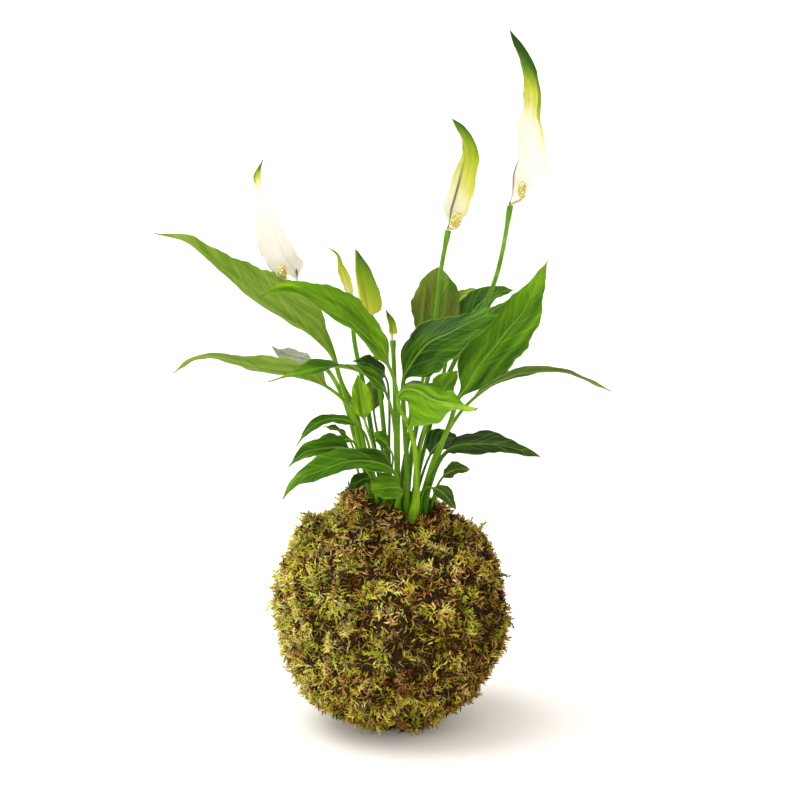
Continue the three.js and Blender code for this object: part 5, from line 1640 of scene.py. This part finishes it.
used, kept = np.unique(triangles[~in_opening], return_inverse=True)
kept, count = kept.reshape(-1, 3), len(used)
inner = directions[used] * (SOIL_RADIUS + FIT_GAP) + [0, 0, BALL_CENTRE_Z]
edges = dict.fromkeys(pair for a, b, c in kept for pair in ((a, b), (b, c), (c, a)))
rim = [(a, b) for a, b in edges if (b, a) not in edges]
faces = [tuple(t) for t in kept] + [(c + count, b + count, a + count) for a, b, c in kept]
faces += [(b, a, a + count, b + count) for a, b in rim]


def bed_finish():
    f = Finish("moss_felt", roughness=0.9, Specular_IOR_Level=0.1)
    grain = f.noise(420, 5.0, roughness=0.7)
    colour = f.ramp(grain, [
        (0.32, (22, 12, 4)), (0.5, (52, 31, 11)), (0.66, (94, 64, 24)), (0.85, (138, 106, 44))])
    colour = f.mix(f.span(f.noise(70, 3.0), 0.42, 0.6, 0.0, 0.7), colour, tint(56, 50, 18))
    f.dress(colour, grain, rough=(0.1, 0.85), bump=(1.0, 0.001))
    return f.material


bed = lay_mesh("moss_bed", np.vstack([outer[used], inner]), faces, material=bed_finish())
stands_for(bed, "moss_cover")
print("moss bed:", len(faces), "faces, rim of", len(rim), "edges")

# %% [markdown]
# ## Where each kind of moss grows
# The left and the top of the ball are yellow-green and the right and the foot browner: partly the moss's
# own colour, partly painted light and shade, lighter on the side the key light comes from. Between the
# stems lies dark litter. Values on a carrier mesh say this, and the strewing tree reads them.

# %% Carrier with weights
LITTER_ABOVE_SOIL = 0.4
TAN_SHIFTED_BY = 977
cap = directions * (SOIL_RADIUS + LITTER_ABOVE_SOIL) + [0, 0, BALL_CENTRE_Z]
carrier_places = np.vstack([outer, cap])
carrier_faces = np.vstack([triangles[~in_opening], triangles[in_opening] + len(directions)])
on_cap = np.repeat([0.0, 1.0], len(directions))
both = np.vstack([directions, directions])
broad = np.tile(rough_noise(directions, 2.6, 4), 2)
patchy = np.tile(rough_noise(directions, 5.5, 5), 2)
small = np.tile(rough_noise(directions, 9.0, 6), 2)
high = smooth(-0.28, 0.22, np.tile(clump, 2))
# Partly painted light and shade: fresh green leans to the left and the top, tan to the right and the foot,
# as the light falls.
fresh = smooth(-0.4, 0.45, 0.6 * broad + 0.6 * patchy + 0.7 * small - 0.5 * both[:, 0] + 0.2 * both[:, 2])
tan = 0.6 * np.roll(patchy, TAN_SHIFTED_BY) - 0.7 * small + 0.24 * both[:, 0] - 0.2 * both[:, 2]
tan = smooth(-0.45, 0.3, tan)
edge = edge_distance(carrier_places[:, 0], carrier_places[:, 1])
dip = np.where(both[:, 2] > 0, 1 - smooth(-2, 15, edge), 0) * smooth(14, -6, carrier_places[:, 1])
dark = np.clip(np.maximum(on_cap, 0.9 * dip), 0, 1)
near_thread = 1 - smooth(0.5, 1.8, np.tile(thread_distance(directions), 2))
clear_of_floor = smooth(0.6, 3.5, carrier_places[:, 2])
fresh, tan = fresh * (1 - dark), np.maximum(tan, dark)
open_air = clear_of_floor * (1 - 0.5 * near_thread * (1 - on_cap))
weights = {
    "fresh": fresh, "tan": tan, "high": high,
    "w_feather": open_air * (1 - dark) * (0.15 + 0.85 * fresh) * (0.4 + 0.8 * high),
    "w_hook": open_air * (1 - dark) * (0.3 + 0.5 * (1 - np.abs(fresh - 0.4))) * (0.55 + 0.75 * high),
    "w_tuft": clear_of_floor * (1 - 0.3 * near_thread) * (1 - 0.8 * dark) * (0.5 + 0.5 * high),
    "w_curl": clear_of_floor * np.clip(0.2 + 0.8 * tan + 0.5 * dark, 0, 1) * (0.8 + 0.2 * high),
    "w_litter": clear_of_floor * np.clip(0.7 - 0.5 * high + 0.3 * tan + 1.2 * dark, 0, 1.3),
    "w_straw": open_air * (1 - 0.7 * dark),
}
carrier = lay_mesh("carrier", carrier_places, carrier_faces, weights)
print("carrier weights:", ", ".join(weights))

# %% Strewing the moss
STREWN = {
    # name: (sprigs, finish, weight, count per square metre, lean, size, sink in mm, seed)
    "moss_feathers": ("feather", "fresh", "w_feather", 92e3, (0.7, 1.45), (0.65, 1.25), 1.2, 11),
    "moss_hooks": ("hook", "olive", "w_hook", 108e3, (0.7, 1.45), (0.6, 1.15), 1.2, 23),
    "moss_tufts": ("tuft", "fresh", "w_tuft", 44e3, (0.5, 1.3), (0.6, 1.15), 1.0, 37),
    "moss_undergrowth": ("tuft", "tan", "w_tuft", 46e3, (0.55, 1.35), (0.65, 1.05), 1.3, 41),
    "moss_dead_curls": ("short_curl", "tan", "w_curl", 215e3, (0.65, 1.45), (0.65, 1.25), 0.8, 59),
    "moss_litter": ("short_curl", "dark", "w_litter", 190e3, (0.7, 1.5), (0.65, 1.15), 1.2, 67),
    "moss_straws": ("straw", "straw", "w_straw", 30e3, (0.9, 1.45), (0.55, 1.05), 0.8, 71),
}
FLOOR_SOFTNESS = 0.6


def lift_off_floor(mesh):
    """What would reach into the floor is pressed flat just above it."""
    places = np.empty(len(mesh.vertices) * 3, np.float32)
    mesh.vertices.foreach_get("co", places)
    z = places[2::3] / MM
    low = z < FLOOR_SOFTNESS
    z[low] = FLOOR_CLEAR + (FLOOR_SOFTNESS - FLOOR_CLEAR) * np.exp((z[low] - FLOOR_SOFTNESS) / 2)
    places[2::3] = z * MM
    mesh.vertices.foreach_set("co", places)
    mesh.update()


moss_triangles = 0
for name, (kind, finish_name, weight, density, lean, size, sink, seed) in STREWN.items():
    piece = strewing.grow(carrier, name, **{
        "Sprigs": SPRIGS[kind], "Density": density, "Weight Name": weight, "Lean Least": lean[0],
        "Lean Most": lean[1], "Size Least": size[0], "Size Most": size[1], "Sink": sink * MM,
        "Seed": seed, "Finish": MOSS_FINISHES[finish_name]})
    lift_off_floor(piece.data)
    for attribute in [a.name for a in piece.data.attributes if a.name.startswith("w_")]:
        piece.data.attributes.remove(piece.data.attributes[attribute])
    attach(piece, "root")
    piece.data.calc_loop_triangles()
    moss_triangles += len(piece.data.loop_triangles)
    print(name, len(piece.data.loop_triangles), "triangles")
print("moss in all:", moss_triangles, "triangles")
discard(carrier)
for group in SPRIGS.values():
    discard(*list(group.objects))
    bpy.data.collections.remove(group)

# %% [markdown]
# ## The binding thread
# A thin dark thread is wound round the ball to hold the moss. It is three strands twisted together. They
# could be three coils, but the sweep tree makes them at once from a three-lobed section that turns.

# %% Binding thread
def thread_finish():
    f = Finish("thread_dark", roughness=0.7, Specular_IOR_Level=0.1)
    fibre = f.noise(2200, 3.0)
    colour = f.ramp(fibre, [(0.3, (18, 12, 8)), (0.55, (36, 26, 18)), (0.8, (70, 54, 38))])
    f.dress(colour, fibre, rough=(0.3, 0.55), bump=(0.6, 0.0002))
    return f.material


THREAD_STEPS = 420
WOBBLE = 0.35
THREAD_SUNK = 0.2
TWIST_RADIUS = 0.38
THREAD_SECTION = {
    "Sides": 9, "Section Radius": TWIST_RADIUS * MM, "Lobes": 3, "Lobe Depth": 0.2, "Twist": 0.9}
paths = []
for number, (tilt, turn, offset) in enumerate(WINDINGS):
    axis = winding_axis(tilt, turn)
    first = unit(np.cross(axis, [0, 0, 1]))
    second = np.cross(axis, first)
    a = np.linspace(0, 2 * np.pi, THREAD_STEPS, endpoint=False)[:, None]
    ring = math.sqrt(THREAD_RING_RADIUS**2 - offset**2) - THREAD_SUNK
    ring = ring + WOBBLE * 0.5 * np.sin(7 * a + number) + WOBBLE * 0.3 * np.sin(17 * a + 2 * number)
    drift = WOBBLE * np.sin(5 * a + 3 * number)
    path = ring * (np.cos(a) * first + np.sin(a) * second) + (offset + drift) * axis
    path = path + unit(path) * shoulder_of(unit(path))[:, None]
    paths.append(path + [0, 0, BALL_CENTRE_Z])
thread_path = path_object("thread_path", paths, True, [np.ones(THREAD_STEPS)] * len(paths))
thread = sweep.grow(thread_path, "binding_thread_twist", Finish=thread_finish(), **THREAD_SECTION)
discard(thread_path)
stands_for(thread, "binding_thread")
print("thread:", len(thread.data.polygons), "faces")

# %% [markdown]
# ## Floor and light
# A plain white floor, two wide soft suns and an even warm sky give the soft look of a shop photograph,
# with one gentle shadow under the ball. The stronger sun stands above and to the left, the weaker one at
# the front left. The floor glows very faintly, so that it stays white under a mild light.

# %% Floor
FLOOR_HALF = 14000
FLOOR_CORNERS = [(-1, -1, 0), (1, -1, 0), (1, 1, 0), (-1, 1, 0)]
FLOOR_GLOW = 0.08


def floor_finish():
    f = Finish("floor_white", roughness=0.7, Emission_Strength=FLOOR_GLOW)
    white = f.ramp(f.noise(6, 2.0), [(0.3, (250, 249, 248)), (0.7, (252, 251, 250))])
    f.paint(white)
    f.put(f.shader.inputs["Emission Color"], white)
    return f.material


floor = lay_mesh("floor", np.array(FLOOR_CORNERS) * FLOOR_HALF, [(0, 1, 2, 3)], material=floor_finish())
floor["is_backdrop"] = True
print("the floor is", 2 * FLOOR_HALF * MM, "m wide")

# %% Light
SKY_COLOUR, SKY_STRENGTH = (1.0, 0.935, 0.86, 1), 0.94
SUNS = {
    # name: (where it comes from, strength, softness in degrees, colour)
    "key_light": ((-0.48, 0.02, 1.0), 1.66, 42, (0.97, 1.0, 1.03)),
    "front_fill": ((-0.75, -1.0, 0.55), 0.75, 70, (0.97, 1.0, 1.02)),
}
world = bpy.data.worlds.new("warm_sky")
bpy.context.scene.world = world
world.use_nodes = True
sky = world.node_tree.nodes["Background"].inputs
sky["Color"].default_value = SKY_COLOUR
sky["Strength"].default_value = SKY_STRENGTH
for name, (came_from, strength, softness, colour) in SUNS.items():
    data = bpy.data.lights.new(name, "SUN")
    data.energy, data.angle, data.color = strength, math.radians(softness), colour
    sun = bpy.data.objects.new(name, data)
    sun.rotation_euler = Vector(came_from).to_track_quat("Z", "Y").to_euler()
    bpy.context.scene.collection.objects.link(sun)
bpy.context.scene.view_settings.view_transform = "Standard"
print("suns:", ", ".join(SUNS), "and a sky of strength", SKY_STRENGTH)

# %% Size of the visual box
low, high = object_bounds()
print("visual box in metres:", list(low), list(high))
